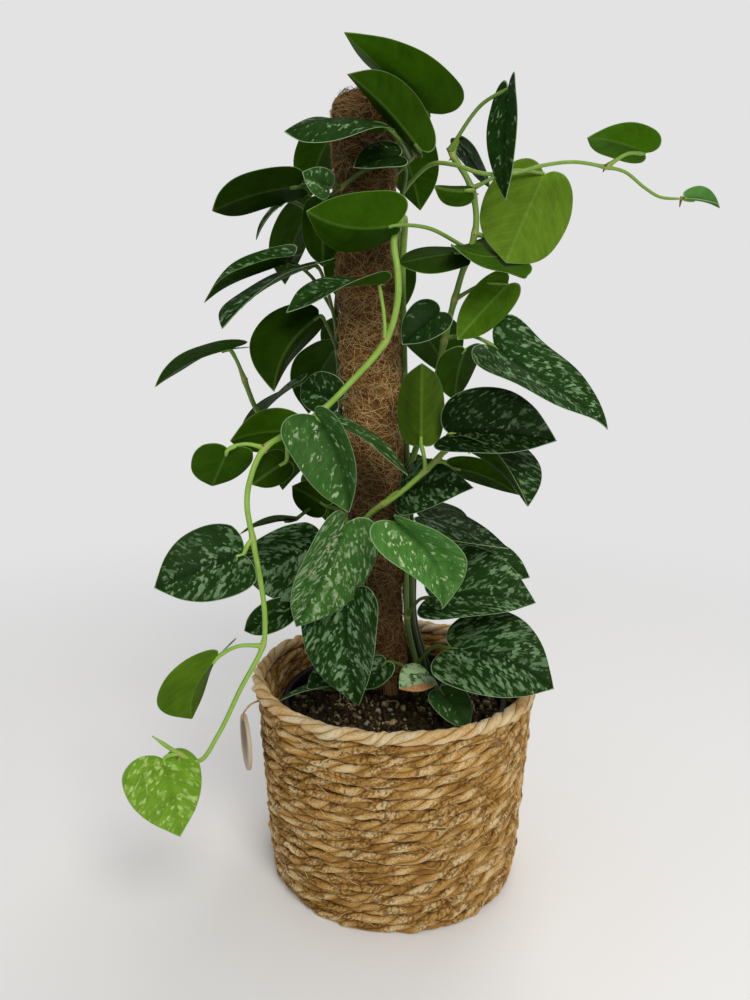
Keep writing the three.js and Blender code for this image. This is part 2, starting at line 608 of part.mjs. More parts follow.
// The vine that crosses the pole's front under its top.
vine("crossing_vine", [
  ...climb(20, 560),
  ...grow([404, 166, -22], [386, 165, -28], [365, 170, -28], [341, 188, -26], [322, 205, -18]),
  ...grow([314, 226, -12]),
], sproutAll([
  [[330, 197, -22], [298, 186, -42], [212, 211, -48], {
    turn: 129, fold: 6, share: 0.7, arch: 0.06, belly: 0.4,
  }],
  [[316, 218, -14], [285, 200, -16], [256, 240, -12], { turn: 80, fold: 6, share: 0.7 }],
  [[341, 188, -26], [329, 188, -44], [302, 172, -56], { turn: 10, fold: 12, share: 0.9, small: true }],
  [[322, 205, -18], [324, 197, -30], [323, 267, -40], { turn: 176, fold: 45, share: 0.84, lobe: 0.5 }],
  [[394, 165, -27], [400, 156, -33], [353, 168, -40], { turn: 50, fold: 10, share: 0.85 }],
]));

// The far side.
vine("back_right_vine", climb(80, 600), farLeaves({ angle: 80, low: 275, high: 600, step: 80, seed: 3908 }));
vine("back_vine", climb(100, 630), farLeaves({ angle: 100, low: 320, high: 630, step: 90, seed: 6418 }));
vine("back_left_vine", climb(120, 590), farLeaves({ angle: 120, low: 269, high: 590, step: 84, seed: 6896 }));
vine("back_low_vine", climb(140, 430), farLeaves({ angle: 140, low: 305, high: 430, step: 84, seed: 8046 }));

// What the plant stands in, with plain holes in the soil for the stake and every stem.
const stake = rod(poleAxis(POLE.foot), poleAxis(STAKE.top), STAKE.radius, 12);
let soil = solid(soilBlock());
soil = soil.subtract(solid(rod(poleAxis(POLE.foot - GAP), poleAxis(220), STAKE.radius + GAP, 12)));
for (const stem of [-42, -22, 0, 20, 41, 62, 80, 100, 120, 140, 160, 177, 193, 216]) {
  const foot = round(stem, STEM.foot, STEM.root - GAP);
  soil = soil.subtract(solid(rod(foot, foot.clone().setZ(200), STEM.radius + 2 * GAP, 6)));
}
add("basket_wall", basket(), COLOURS.seagrass, 0.9);
add("basket_rim", rimCord(), COLOURS.seagrass, 0.9);
add("nursery_pot", nurseryPot(), COLOURS.plastic, 0.35);
add("soil", geometryOf(soil), COLOURS.soil, 1);
add("pole_stake", stake, COLOURS.wood, 0.8);
add("coir_sleeve", coirSleeve(), COLOURS.coir, 1);

// The round tag hangs flat beside the basket by a short twine from the weave.
const tagOut = vec(Math.cos(rad(TAG.angle)), Math.sin(rad(TAG.angle)), 0);
const tagAt = (distance, z) => tagOut.clone().multiplyScalar(distance).setZ(z);
const half = TAG.thickness / 2;
const disc = rod(tagAt(TAG.distance - half, TAG.z), tagAt(TAG.distance + half, TAG.z), TAG.radius, TAG.sides);
const twine = new THREE.CatmullRomCurve3([
  tagAt(wallRadius(167) + 1.3, 167), tagAt(TAG.distance - 5, 165),
  tagAt(TAG.distance, TAG.z + TAG.radius - 2),
]);
add("round_tag", geometryOf(solid(disc).add(solid(tube(twine, 0.9, 6, 6)))), COLOURS.tag, 0.7);

export default model;
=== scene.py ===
"""A satin pothos trained up a coir pole, in a black nursery pot inside a seagrass basket.

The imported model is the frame: the solids of leaves, cords, fibre and soil give way here to finer
skins of the same form, worked out from the same sizes. Lengths are millimetres until a mesh is
made, +Z is up and the plant faces -Y.
"""
import math
from types import SimpleNamespace as Sizes

import bpy
import numpy as np
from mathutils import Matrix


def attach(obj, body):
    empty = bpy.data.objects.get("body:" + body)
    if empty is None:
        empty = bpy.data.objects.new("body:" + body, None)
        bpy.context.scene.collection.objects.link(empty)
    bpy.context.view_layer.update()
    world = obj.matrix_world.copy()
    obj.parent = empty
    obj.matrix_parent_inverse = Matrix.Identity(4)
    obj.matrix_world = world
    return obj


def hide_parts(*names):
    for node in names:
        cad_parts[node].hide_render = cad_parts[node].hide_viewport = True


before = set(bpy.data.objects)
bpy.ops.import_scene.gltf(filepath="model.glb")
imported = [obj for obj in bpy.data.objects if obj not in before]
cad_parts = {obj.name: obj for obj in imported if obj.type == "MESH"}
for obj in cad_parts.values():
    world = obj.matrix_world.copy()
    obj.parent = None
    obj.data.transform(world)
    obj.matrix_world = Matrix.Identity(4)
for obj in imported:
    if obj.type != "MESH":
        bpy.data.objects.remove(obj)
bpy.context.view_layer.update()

MM = 0.001

# Sizes shared with the solids
BASKET = Sizes(height=172, top=118, base=106, toe=14, tuck=4, rows=18)
RIM = Sizes(radius=117, z=177.1, strand=5.8, rolls=15)
POT = Sizes(floor=9, height=158, base=72, top=94, wall=1.8, lip=3.5, lip_height=9)
DRAINS = Sizes(count=6, radius=5, ring=45)
SOIL = Sizes(level=148, mound=8, bed=11.15, bottom=70, top=90.6)
POLE = Sizes(coir_foot=180, neck_top=250, swell=22, top=646, neck=15.5, radius=24, y=5)
LEAN = Sizes(bend=380, x=-19, below=0.069, above=0.03)
STAKE = Sizes(radius=6.5, foot=30, top=372)
STEM = Sizes(radius=2.4, thickest=3.1, root=112, foot=33, gap=1.3, clasp=225, step=50)
PETIOLE = Sizes(radius=1.5, under=6)
TAG = Sizes(radius=23, thickness=3, hole=1.5, hole_in=5, angle=197.5, distance=131, z=133)

# Sizes of the skins alone
BLADE = Sizes(half=0.42, quilt=0.16, groove=0.5, rib=0.6, vein_gap=8.5, stations=36)
PLY = Sizes(count=3, radius=0.68, out=0.32)
WALL_CORD = Sizes(size=5.6, lowest=5.4, inset=4.4, rolls=9)
BASE_CORD = Sizes(size=4.7, z=4.5, first=9, last=98, pitch=8.8, disc=96)
RIM_END = Sizes(begin=231, sweep=372, blunt=6, taper=45, dive=60, inward=8.5, down=3.5)
MAT = Sizes(radius=22, dome=14)
STREWN = 88

# The view that the plant's front was read off: from EYE, turned down by TILT, 1000 points high
EYE = np.array([-17.0, -690.0, 485.0])
TILT = math.radians(12.54)
FOCAL = 850
MIDDLE = (375, 500)
VIEW_HEIGHT = 1000
SENSOR = 36


def at(u, v, y):
    """The point seen at (u, v) whose depth is y: from the eye along that line of sight until y."""
    right = (u - MIDDLE[0]) / FOCAL
    up = (MIDDLE[1] - v) / FOCAL
    ahead = math.cos(TILT) + up * math.sin(TILT)
    rise = up * math.cos(TILT) - math.sin(TILT)
    reach = (y - EYE[1]) / ahead
    return EYE + np.array([right * reach, y - EYE[1], rise * reach])


def unit(vectors):
    """The same directions, each of length 1."""
    length = np.linalg.norm(vectors, axis=-1, keepdims=True)
    return vectors / np.maximum(length, 1e-9)


def smooth(value, low, high):
    """0 below low, 1 above high, and 3t^2 - 2t^3 between them."""
    t = np.clip((value - low) / (high - low), 0, 1)
    return t * t * (3 - 2 * t)


def hump(distance, width):
    """A bell that is 1 at no distance and fades over width: e to the minus square."""
    return np.exp(-np.square(distance / width))


def ripples(places, size, seed, waves=7):
    """Smooth unevenness of about -1 to 1: a sum of sine waves about size long, in seeded directions."""
    chance = np.random.default_rng(seed)
    ways = unit(chance.normal(size=(waves, places.shape[-1])))
    ways = ways * 2 * np.pi / size * chance.uniform(0.7, 1.4, (waves, 1))
    phase = chance.uniform(0, 2 * np.pi, waves)
    return np.sin(places @ ways.T + phase).sum(-1) / (0.9 * waves ** 0.5)


def circle(steps):
    """Angles at equal steps once round, with the first again at the end."""
    return np.linspace(0, 2 * np.pi, steps + 1)


def grid(*parts):
    """Places on a common grid from arrays of their parts."""
    return np.stack(np.broadcast_arrays(*parts), axis=-1)


def around(turn, reach, z, x=0.0, y=0.0):
    """Places round an upright line through (x, y), by an angle from +X, a distance and a height."""
    return grid(x + reach * np.cos(turn), y + reach * np.sin(turn), z)


# Lines in space


def run_of(line):
    """How far along a line each of its points lies."""
    return np.concatenate([[0], np.cumsum(np.linalg.norm(np.diff(line, axis=0), axis=1))])


def cubic(b, c, start, end, w):
    """The cubic from b to c whose slopes there are start and end, at the share w of the way."""
    return b + start * w + (3 * (c - b) - 2 * start - end) * w**2 + (2 * (b - c) + start + end) * w**3


def through(points, spacing):
    """A smooth line through points, at equal steps of about spacing: a centripetal Catmull-Rom
    spline, a cubic in each span whose end slopes are weighed by the roots of the distances."""
    p = np.array(points, float)
    p = np.vstack([2 * p[0] - p[1], p, 2 * p[-1] - p[-2]])
    spans = len(p) - 3
    place = np.linspace(0, spans, spans * 30 + 1)
    i = np.minimum(place.astype(int), spans - 1)
    a, b, c, d = p[i], p[i + 1], p[i + 2], p[i + 3]
    root = np.sqrt(np.linalg.norm(np.diff(p, axis=0), axis=1))[:, None]
    e, f, g = root[i], root[i + 1], root[i + 2]
    start = f * ((b - a) / e - (c - a) / (e + f) + (c - b) / f)
    end = f * ((c - b) / f - (d - b) / (f + g) + (d - c) / g)
    line = cubic(b, c, start, end, (place - i)[:, None])
    run = run_of(line)
    steps = np.linspace(0, run[-1], max(6, round(run[-1] / spacing)))
    return np.stack([np.interp(steps, run, line[:, k]) for k in range(3)], axis=1)


def pole_x(z):
    """The pole's axis leans to the left going up, less above its bend."""
    slope = np.where(np.less(z, LEAN.bend), LEAN.below, LEAN.above)
    return LEAN.x - slope * (z - LEAN.bend)


def pole_radius(z):
    """The sleeve swells smoothly from its slim neck to its full radius."""
    rise = smooth(z, POLE.neck_top, POLE.neck_top + POLE.swell)
    return POLE.neck + (POLE.radius - POLE.neck) * rise


def by_pole(turn, reach, z):
    """Places round the pole, by an angle from +X, a distance from its axis and a height."""
    return around(turn, reach, z, pole_x(z), POLE.y)


def hug(angle, z):
    """The place of a stem that lies against the pole, clear of its swelling a little above."""
    reach = max(pole_radius(z), pole_radius(z + 40)) + STEM.radius + STEM.gap
    return by_pole(math.radians(angle), reach, z)


def climb(angle, top):
    """A stem's lower part: straight up out of the soil, then against the pole up to a height."""
    foot = by_pole(math.radians(angle), STEM.foot, STEM.root)
    heights = [*range(STEM.clasp, math.ceil(top - STEM.step / 2), STEM.step), top]
    return [foot + [0, 0, rise] for rise in (0, 20, 40, 56)] + [hug(angle, z) for z in heights]


def heading(angle, rise):
    """A direction: an angle from +X in degrees and a rise above level."""
    turn, lift = math.radians(angle), math.radians(rise)
    return np.array([math.cos(lift) * math.cos(turn), math.cos(lift) * math.sin(turn), math.sin(lift)])


def stream(seed):
    """A steady stream of numbers from 0 to 1, the same on every run: each is the one before times
    a number, less all whole turns of a large prime."""
    prime = 2**31 - 1
    while True:
        seed = seed * 16807 % prime
        yield seed / prime


# Skins and pieces


class Skin:
    """Points in millimetres, triangles on them, and at each point its place on the flat skin (in
    centimetres) and the marks that the finishes read."""

    def __init__(self, points, faces, flat, finish=0, **marks):
        self.points = points.reshape(-1, 3)
        self.faces = faces.reshape(-1, 3)
        self.flat = flat.reshape(-1, 2)
        self.finish = finish
        self.marks = {k: np.broadcast_to(v, points.shape[:-1]).ravel() for k, v in marks.items()}

    def outward(self):
        """Turns the faces round if the volume that they close in comes out negative."""
        a, b, c = (self.points[self.faces[:, k]] - self.points[0] for k in range(3))
        if np.einsum("ij,ij->", a, np.cross(b, c)) < 0:
            self.faces = self.faces[:, ::-1]
        return self


def net(rows, columns):
    """Two triangles for each cell of a grid of points laid out row by row."""
    corner = (np.arange(rows - 1)[:, None] * columns + np.arange(columns - 1)).ravel()
    a, b, c, d = corner, corner + 1, corner + columns, corner + columns + 1
    return np.stack([a, b, c, b, d, c], axis=1).reshape(-1, 3)


def sheet(points, flat, **marks):
    """A closed skin on a grid of points."""
    return Skin(points, net(*points.shape[:2]), flat, **marks).outward()


def put(name, data):
    """A new object of the scene, at the origin."""
    made = bpy.data.objects.new(name, data)
    bpy.context.collection.objects.link(made)
    return made


def piece(name, skins, finishes, slot, *replaced):
    """One piece of the plant from its skins. Points that meet become one, triangles left without
    area go, and the piece stands for the solids that it replaces."""
    starts = np.cumsum([0] + [len(s.points) for s in skins])
    points = np.concatenate([s.points for s in skins]) * MM
    faces = np.concatenate([s.faces + start for s, start in zip(skins, starts)])
    flat = np.concatenate([s.flat for s in skins])
    slots = np.concatenate([np.broadcast_to(s.finish, len(s.faces)) for s in skins])
    _, first, same = np.unique(np.round(points, 7), axis=0, return_index=True, return_inverse=True)
    corners = same.ravel()[faces]
    a, b, c = corners.T
    whole = (a != b) & (b != c) & (c != a)
    corners, faces, slots = corners[whole], faces[whole], slots[whole]

    mesh = bpy.data.meshes.new(name)
    mesh.from_pydata(points[first], [], corners, shade_flat=False)
    mesh.polygons.foreach_set("material_index", slots.astype(np.int32))
    mesh.uv_layers.new(name="flat").uv.foreach_set("vector", flat[faces].ravel())
    for mark in sorted({k for s in skins for k in s.marks}):
        values = [s.marks.get(mark, np.zeros(len(s.points))) for s in skins]
        layer = mesh.attributes.new(mark, "FLOAT", "POINT")
        layer.data.foreach_set("value", np.concatenate(values)[first].astype(np.float32))
    for finish in finishes:
        mesh.materials.append(finish)
    made = put(name, mesh)
    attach(made, "root")
    if replaced:
        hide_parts(*replaced)
    return made


def tube(path, radius, sides, finish=0, **marks):
    """A skin round a path: rings square to it, turned from the direction that it leans to least,
    and closed at both ends by a ring of no size."""
    way = unit(np.gradient(path, axis=0))
    side = unit(np.cross(way, np.linalg.svd(way)[2][-1]))
    other = np.cross(way, side)
    stations = np.r_[0, 0:len(path), len(path) - 1]
    size = np.broadcast_to(radius, len(path))[stations].copy()
    size[[0, -1]] = 0
    turn = circle(sides)
    ring = side[stations, None] * np.cos(turn)[:, None] + other[stations, None] * np.sin(turn)[:, None]
    points = path[stations, None] + size[:, None, None] * ring
    flat = grid(run_of(path)[stations, None] / 10, turn * size.max() / 10)
    marks = {k: np.broadcast_to(v, len(path))[stations][:, None] for k, v in marks.items()}
    return sheet(points, flat, finish=finish, **marks)


def turned(profile, sides, **marks):
    """A skin spun about Z from a profile of (radius, height) pairs whose ends lie on the axis."""
    profile = np.array(profile, float)
    r, z = profile[:, :1], profile[:, 1:]
    turn = circle(sides)
    flat = grid(turn * r.max() / 10, run_of(profile)[:, None] / 10)
    return sheet(around(turn, r, z), flat, **marks)


def strands(lines, radius, odd):
    """Many thin closed hairs at once: lines is strand by station by xyz. Each strand has a radius,
    full along its middle and none at its two ends, and a mark. Rings of three stand square to it."""
    count, stations = lines.shape[:2]
    way = unit(np.gradient(lines, axis=1))
    side = unit(np.cross(way, [0.31, 0.22, 0.93]))
    other = np.cross(way, side)
    taper = np.ones(stations)
    taper[[0, -1]] = 0
    size = radius[:, None, None, None] * taper[:, None, None]
    turn = circle(3)[:, None]
    points = lines[:, :, None] + size * (side[:, :, None] * np.cos(turn) + other[:, :, None] * np.sin(turn))
    start = np.arange(count) * stations * len(turn)
    faces = net(stations, len(turn)) + start[:, None, None]
    flat = np.zeros(points.shape[:-1] + (2,))
    return Skin(points, faces, flat, odd=odd[:, None, None]).outward()


# Finishes


def tone(code):
    """A colour from its usual hexadecimal code, made linear."""
    parts = [(code >> shift & 255) / 255 for shift in (16, 8, 0)]
    return [p / 12.92 if p <= 0.04045 else ((p + 0.055) / 1.055) ** 2.4 for p in parts] + [1]


class Value:
    """What one socket gives. An expression on values adds its Math nodes."""

    def __init__(self, nodes, socket):
        self.nodes = nodes
        self.socket = socket

    def math(self, operation, first, second=0.0):
        """One calculation on two values or numbers."""
        return self.nodes.node("ShaderNodeMath", {"operation": operation}, {0: first, 1: second})

    def __add__(self, other):
        return self.math("ADD", self, other)

    def __sub__(self, other):
        return self.math("SUBTRACT", self, other)

    def __mul__(self, other):
        return self.math("MULTIPLY", self, other)

    def __rsub__(self, other):
        return self.math("SUBTRACT", other, self)

    __radd__ = __add__
    __rmul__ = __mul__

    def rise(self, low, high):
        """0 below low, 1 above high, smooth between."""
        settings = {"interpolation_type": "SMOOTHSTEP"}
        return self.nodes.node("ShaderNodeMapRange", settings, {0: self, 1: low, 2: high})

    def fall(self, low, high):
        """1 below low, 0 above high, smooth between."""
        return 1 - self.rise(low, high)

    def sine(self):
        """The sine of the value, as an angle in radians."""
        return self.math("SINE", self)


class Nodes:
    """The nodes of a finish or of the room, and the one call that adds to them."""

    def __init__(self, owner):
        owner.use_nodes = True
        self.tree = owner.node_tree

    def node(self, kind, settings=None, sockets=None, out=0):
        """Adds a node, gives it its settings, then the values or links of its sockets."""
        node = self.tree.nodes.new(kind)
        for setting, value in (settings or {}).items():
            setattr(node, setting, value)
        for key, value in (sockets or {}).items():
            if isinstance(value, Value):
                self.tree.links.new(value.socket, node.inputs[key])
            else:
                node.inputs[key].default_value = value
        return Value(self, node.outputs[out])


class Finish(Nodes):
    """A material, and the calls that lay its nodes. Colours are codes or values."""

    def __init__(self, name, specular):
        self.material = bpy.data.materials.new(name)
        super().__init__(self.material)
        self.shader = self.tree.nodes["Principled BSDF"]
        self.shader.inputs["Specular IOR Level"].default_value = specular

    def place(self):
        """Where a point of the piece is, in millimetres."""
        return self.stretch(self.node("ShaderNodeTexCoord", out="Object"), (1000, 1000, 1000))

    def flat(self):
        """Where a point is on the flat skin, in centimetres."""
        return self.node("ShaderNodeUVMap", {"uv_map": "flat"})

    def mark(self, name):
        """One mark of the skin."""
        return self.node("ShaderNodeAttribute", {"attribute_name": name}, out="Fac")

    def stretch(self, where, by):
        """A place with each of its parts made larger by a number of its own."""
        return self.node("ShaderNodeVectorMath", {"operation": "MULTIPLY"}, {0: where, 1: by})

    def part(self, where, axis):
        """One part of a place: 0, 1 or 2 for x, y or z."""
        return self.node("ShaderNodeSeparateXYZ", {}, {0: where}, out=axis)

    def pattern(self, kind, settings, where, scale, **sockets):
        """A pattern over a place. A scale for each direction stretches the place instead."""
        if isinstance(scale, tuple):
            where, scale = self.stretch(where, scale), 1.0
        return self.node(kind, settings, {"Vector": where, "Scale": scale, **sockets})

    def noise(self, where, scale, detail=2.0, rough=0.5, bend=0.0):
        """Cloudy unevenness from 0 to 1."""
        sockets = dict(Detail=detail, Roughness=rough, Distortion=bend)
        return self.pattern("ShaderNodeTexNoise", {}, where, scale, **sockets)

    def cells(self, where, scale, feature="F1"):
        """How far the nearest of many scattered points is, or the edge of its cell."""
        return self.pattern("ShaderNodeTexVoronoi", {"feature": feature}, where, scale)

    def mix(self, share, first, second, blend="MIX"):
        """Colours blended by share."""
        settings = {"data_type": "RGBA", "blend_type": blend}
        first, second = (tone(c) if isinstance(c, int) else c for c in (first, second))
        return self.node("ShaderNodeMix", settings, {0: share, 6: first, 7: second}, out=2)

    def shaded(self, colour, dark):
        """A colour made darker: multiplied by 1 - dark."""
        light = 1 - dark
        grey = self.node("ShaderNodeCombineColor", {}, {0: light, 1: light, 2: light})
        return self.mix(1.0, colour, grey, "MULTIPLY")

    def relief(self, *layers):
        """Bumps laid on each other: (height, depth in millimetres) pairs."""
        normal = {}
        for height, depth in layers:
            sockets = {"Height": height, "Distance": depth * MM, "Strength": 1.0, **normal}
            normal = {"Normal": self.node("ShaderNodeBump", {}, sockets)}
        return normal["Normal"]

    def wear(self, colour, rough, *layers):
        """Links the shader's colour, its roughness, and the bumps of relief."""
        for key, value in ("Base Color", colour), ("Roughness", rough), ("Normal", self.relief(*layers)):
            self.tree.links.new(value.socket, self.shader.inputs[key])
        return self.material


def leaf_upper():
    """Deep satin green, darker along the midrib and mottled between the side veins. Silver flecks
    drawn out along the veins come in drifts, some of them faint, on paler patches. The margin
    is pale and thin, and brown where a leaf has withered."""
    f = Finish("leaf_upper", 0.05)
    flat, place = f.flat(), f.place()
    silver, young, lime, deep, rib, edge, dry = map(f.mark, "silver young lime deep rib edge dry".split())
    green = f.mix(young, 0x153109, 0x50843A)
    green = f.mix(lime, green, 0x729E2C)
    mottle = f.noise(flat, (1.6, 0.7, 1), 3.0, 0.6, 0.6)
    green = f.shaded(green, 0.95 * mottle - 0.32)
    green = f.shaded(green, 0.28 * rib.fall(0.6, 3.6) * (1 - 0.6 * lime))
    blot = f.noise(flat, (1.9, 1.95, 1), 3.0, 0.55, 0.7)
    spots = f.cells(flat, (2.7, 2.1, 1))
    drift = f.noise(flat, 0.75, 1.0)
    speck = f.noise(flat, (13, 7, 1), 2.0, 0.6)
    level = 0.69 - 0.2 * silver - 0.28 * (drift - 0.5) + 0.08 * rib.fall(1.0, 4.0)
    level = level + 0.06 * edge.fall(0.5, 2.5)
    faint = f.noise(flat, 0.45, 1.0).rise(0.36, 0.6)
    splash = 0.45 * (1 - spots) + 0.65 * blot + 0.2 * speck
    flecks = (splash - 1.1 * level - 0.12).rise(-0.01, 0.05) * silver.rise(0.0, 0.1)
    flecks = flecks * (0.45 + 0.55 * faint)
    haze = (blot - level).rise(-0.02, 0.06) * silver.rise(0.0, 0.1)
    flecks = flecks + 0.4 * haze * (1 - flecks)
    bright = f.mix(young, 0x70966A, 0xC8DCAE)
    bright = f.mix(lime, bright, 0xB2D076)
    bright = f.shaded(bright, 0.8 * speck - 0.32)
    colour = f.mix(0.9 * flecks, green, bright)
    # Leaves that lie in the shade of others are darkened by this mark: painted shade.
    colour = f.shaded(colour, 0.5 * deep)
    colour = f.mix(0.7 * edge.fall(0.2, 0.65), colour, 0x9CB68C)
    parched = dry * (0.7 + 0.6 * f.noise(place, 0.3, 3.0))
    brown = f.mix(f.noise(place, 0.5), 0x6E4526, 0xC9A06A)
    colour = f.mix(parched.rise(0.3, 0.5), colour, brown)
    rough = 0.4 + 0.15 * flecks + 0.12 * mottle
    return f.wear(colour, rough, (f.noise(place, 1.3, 2.0), 0.12), (blot, 0.15), (mottle, 0.5))


def leaf_under():
    """Plain yellow-green, paler along the midrib, with sunken side veins and a net of fine ones."""
    f = Finish("leaf_under", 0.02)
    flat, place = f.flat(), f.place()
    young, lime, deep, rib, edge = map(f.mark, "young lime deep rib edge".split())
    wave = f.part(flat, 0) * (2 * math.pi / (BLADE.vein_gap / 10))
    veins = (wave.sine() + 1) * 0.5
    fine = f.cells(flat, (5, 3, 1), "DISTANCE_TO_EDGE")
    green = f.mix(young, 0x264206, 0x4A7A09)
    green = f.mix(lime, green, 0x74922E)
    green = f.shaded(green, 0.9 * f.noise(flat, 0.6, 3.0, 0.6) - 0.3)
    green = f.mix(veins.rise(0.9, 1.0) * (0.01 + 0.08 * lime), green, 0xA9C46A)
    colour = f.mix(0.14 * rib.fall(0.4, 1.5), green, 0x8DB35A)
    # The same mark darkens the under side of a leaf that lies in the shade of others: painted shade.
    colour = f.shaded(colour, 0.62 * deep)
    colour = f.mix(0.5 * edge.fall(0.2, 0.6), colour, 0x86A460)
    rough = 0.42 + 0.12 * f.noise(place, 0.2)
    return f.wear(colour, rough, (fine.rise(0.0, 0.12), 0.06), (veins.rise(0.8, 1.0), 0.07))


def stem_skin():
    """Smooth green with faint lengthwise streaks, pale rings at the joints and brown stubs."""
    f = Finish("stem_skin", 0.3)
    flat, place = f.flat(), f.place()
    young, scar, bark = map(f.mark, ("young", "scar", "bark"))
    streak = f.noise(flat, (0.6, 9, 1), 2.0)
    blotch = f.noise(flat, (1.3, 1, 1), 3.0, 0.6)
    green = f.mix(young, 0x273C16, 0x90B94C)
    green = f.shaded(green, 0.4 * streak + 0.45 * blotch - 0.32)
    green = f.mix(0.6 * scar, green, 0xB0A062)
    colour = f.mix(bark, green, f.mix(f.noise(place, 0.8), 0x4A3018, 0x9A6B3C))
    return f.wear(colour, 0.4 + 0.25 * bark, (streak, 0.2), (f.noise(place, 0.9, 2.0), 0.15))


def seagrass(name, low, high, pale, crumpled):
    """Twisted rush: fine fibres along each ply, some of them bleached. The ply tops are paler, a
    painted highlight, and the furrows and the creases, where it is crumpled, darker: painted shade."""
    f = Finish(name, 0.2)
    flat, place = f.flat(), f.place()
    deep, odd = f.mark("deep"), f.mark("odd")
    fibre = f.noise(flat, (1.8, 16, 1), 5.0, 0.8)
    knots = f.noise(flat, (14, 6, 1), 2.0, 0.6)
    where = f.noise(flat, 0.45, 2.0).rise(0.36, 0.58)
    crease = crumpled * f.cells(flat, (4.2, 3.4, 1)).rise(0.4, 0.8) * where
    patch = f.noise(place, 0.05, 2.0)
    # The ply tops take more of the light tone than the furrows: painted light and shade.
    share = (1.7 * fibre + 0.7 * knots + 0.5 * odd + 0.3 * patch - 0.3 * deep - 0.8).rise(0.05, 0.95)
    colour = f.mix(share, low, high)
    # Pale fibres, bleached at random but kept out of the furrows so that they gather on the ply tops:
    # partly a painted highlight.
    bleach_and_highlight = (1.1 * fibre + 0.7 * knots + 0.25 * odd - 0.3 * deep).rise(0.94, 1.16)
    colour = f.mix(0.85 * bleach_and_highlight, colour, pale)
    # Darker in the creases where it is crumpled: painted shade.
    colour = f.mix(0.75 * crease, colour, 0x6A4418)
    # Darker in the furrows, and on the inner wall and the disc behind the cords: painted shade.
    colour = f.mix(deep.rise(0.7, 1.0) * 0.6, colour, 0x5A3C18)
    return f.wear(colour, 0.65 + 0.25 * fibre, (knots, 0.8), (fibre, 1.6), (crease * -1.0, 0.9))


def coir():
    """Coconut fibre: each strand its own brown, from dark to straw, and redder low down. It is palest
    at half height, a painted pool of light, with painted shade above that and a painted shadow of
    the leaves below it."""
    f = Finish("coir", 0.2)
    place, odd, deep = f.place(), f.mark("odd"), f.mark("deep")
    fleece = f.noise(place, 0.7, 5.0, 0.8, 1.2).rise(0.32, 0.68)
    share = (odd + 0.5 * fleece + 0.15 * deep - 0.2).rise(-0.05, 0.9)
    colour = f.mix(share, 0x6C4018, 0xFFC270)
    colour = f.mix((odd + 0.2 * fleece).rise(0.68, 1.0), colour, 0xFFE0A0)
    height = f.part(place, 2)
    colour = f.mix(0.35 * height.fall(215, 255), colour, 0x8A5630)
    # Painted light and shade by height: a painted shadow of the leaves from about 215 to 385 mm, a painted
    # pool of light from 385 to 450 mm, and painted shade above 500 mm.
    low = (0.58 * height.rise(215, 250) + 0.24) * height.fall(335, 385)
    colour = f.shaded(colour, 0.58 * height.rise(450, 500) + low - 0.34)
    colour = f.shaded(colour, f.noise(place, 0.03, 2.0) - 0.55)
    # The matted coir under the strands is darker: painted shade between the fibres.
    colour = f.shaded(colour, deep * (0.8 - 0.5 * fleece))
    return f.wear(colour, 0.75 + 0.1 * fleece, (fleece, 1.0))


def potting_soil():
    """Dark damp crumb with brown bark bits and white grains, by the mark of each crumb."""
    f = Finish("potting_soil", 0.2)
    place, odd = f.place(), f.mark("odd")
    crumb = f.noise(place, 0.5, 5.0, 0.7)
    colour = f.mix(crumb.rise(0.35, 0.7), 0x100E09, 0x463A20)
    bits = f.mix(crumb.rise(0.3, 0.7), 0x4A3E26, 0xCDB684)
    colour = f.mix(odd.rise(0.3, 0.9) * 0.9, colour, bits)
    colour = f.mix(odd.rise(0.93, 0.97), colour, 0x8C8A7C)
    return f.wear(colour, 0.75 + 0.2 * crumb, (crumb, 1.2))


def black_plastic():
    """Thin moulded plastic, glossy, with faint rings and scuffs."""
    f = Finish("black_plastic", 0.4)
    scuff = f.noise(f.stretch(f.place(), (1, 1, 0.15)), 0.25, 4.0, 0.65)
    colour = f.mix(scuff.rise(0.45, 0.8), 0x080807, 0x171716)
    return f.wear(colour, 0.25 + 0.3 * scuff, (scuff, 0.25))


def wood(name, low, high, pale):
    """Straight grain along the height, with darker pores and a paler cut edge."""
    f = Finish(name, 0.3)
    grain = f.noise(f.stretch(f.place(), (1, 1, 0.08)), 0.8, 4.0, 0.6, 0.5)
    colour = f.mix(grain.rise(0.3, 0.7), low, high)
    colour = f.mix(0.8 * f.mark("edge"), colour, pale)
    return f.wear(colour, 0.6 + 0.2 * grain, (grain, 0.3))


# Leaves

MARGIN = np.array([
    [0, 0], [-0.08, 0.2], [-0.1, 0.5], [-0.02, 0.8], [0.15, 0.98],
    [0.35, 1], [0.58, 0.88], [0.78, 0.6], [0.93, 0.21], [1, 0],
])
OUTS = np.array([0, 0.03, 0.07, 0.13, 0.22, 0.33, 0.45, 0.57, 0.69, 0.8, 0.88, 0.94, 0.975, 0.993, 1])

# How a leaf is shaped and marked where nothing else is said
PLAIN = dict(
    arch=0.08, sweep=0, lobe=1, belly=0, lean=0, twist=0, wave=0.05, sky=False, small=False, by=None,
    # The mark that darkens a leaf lying in the shade of others is painted shade; most leaves have none.
    silver=0.6, young=0.1, lime=0, deep=0, dry=None,
)


def margin(along):
    """A leaf's outline from notch to tip: a cubic through the points of MARGIN in turn, whose slope
    at each is half the step from the point before to the point after."""
    p = np.vstack([MARGIN[0], MARGIN, MARGIN[-1]])
    place = along * (len(MARGIN) - 1)
    i = np.minimum(place.astype(int), len(MARGIN) - 2)
    a, b, c, d = p[i], p[i + 1], p[i + 2], p[i + 3]
    return cubic(b, c, (c - a) / 2, (d - b) / 2, (place - i)[..., None])


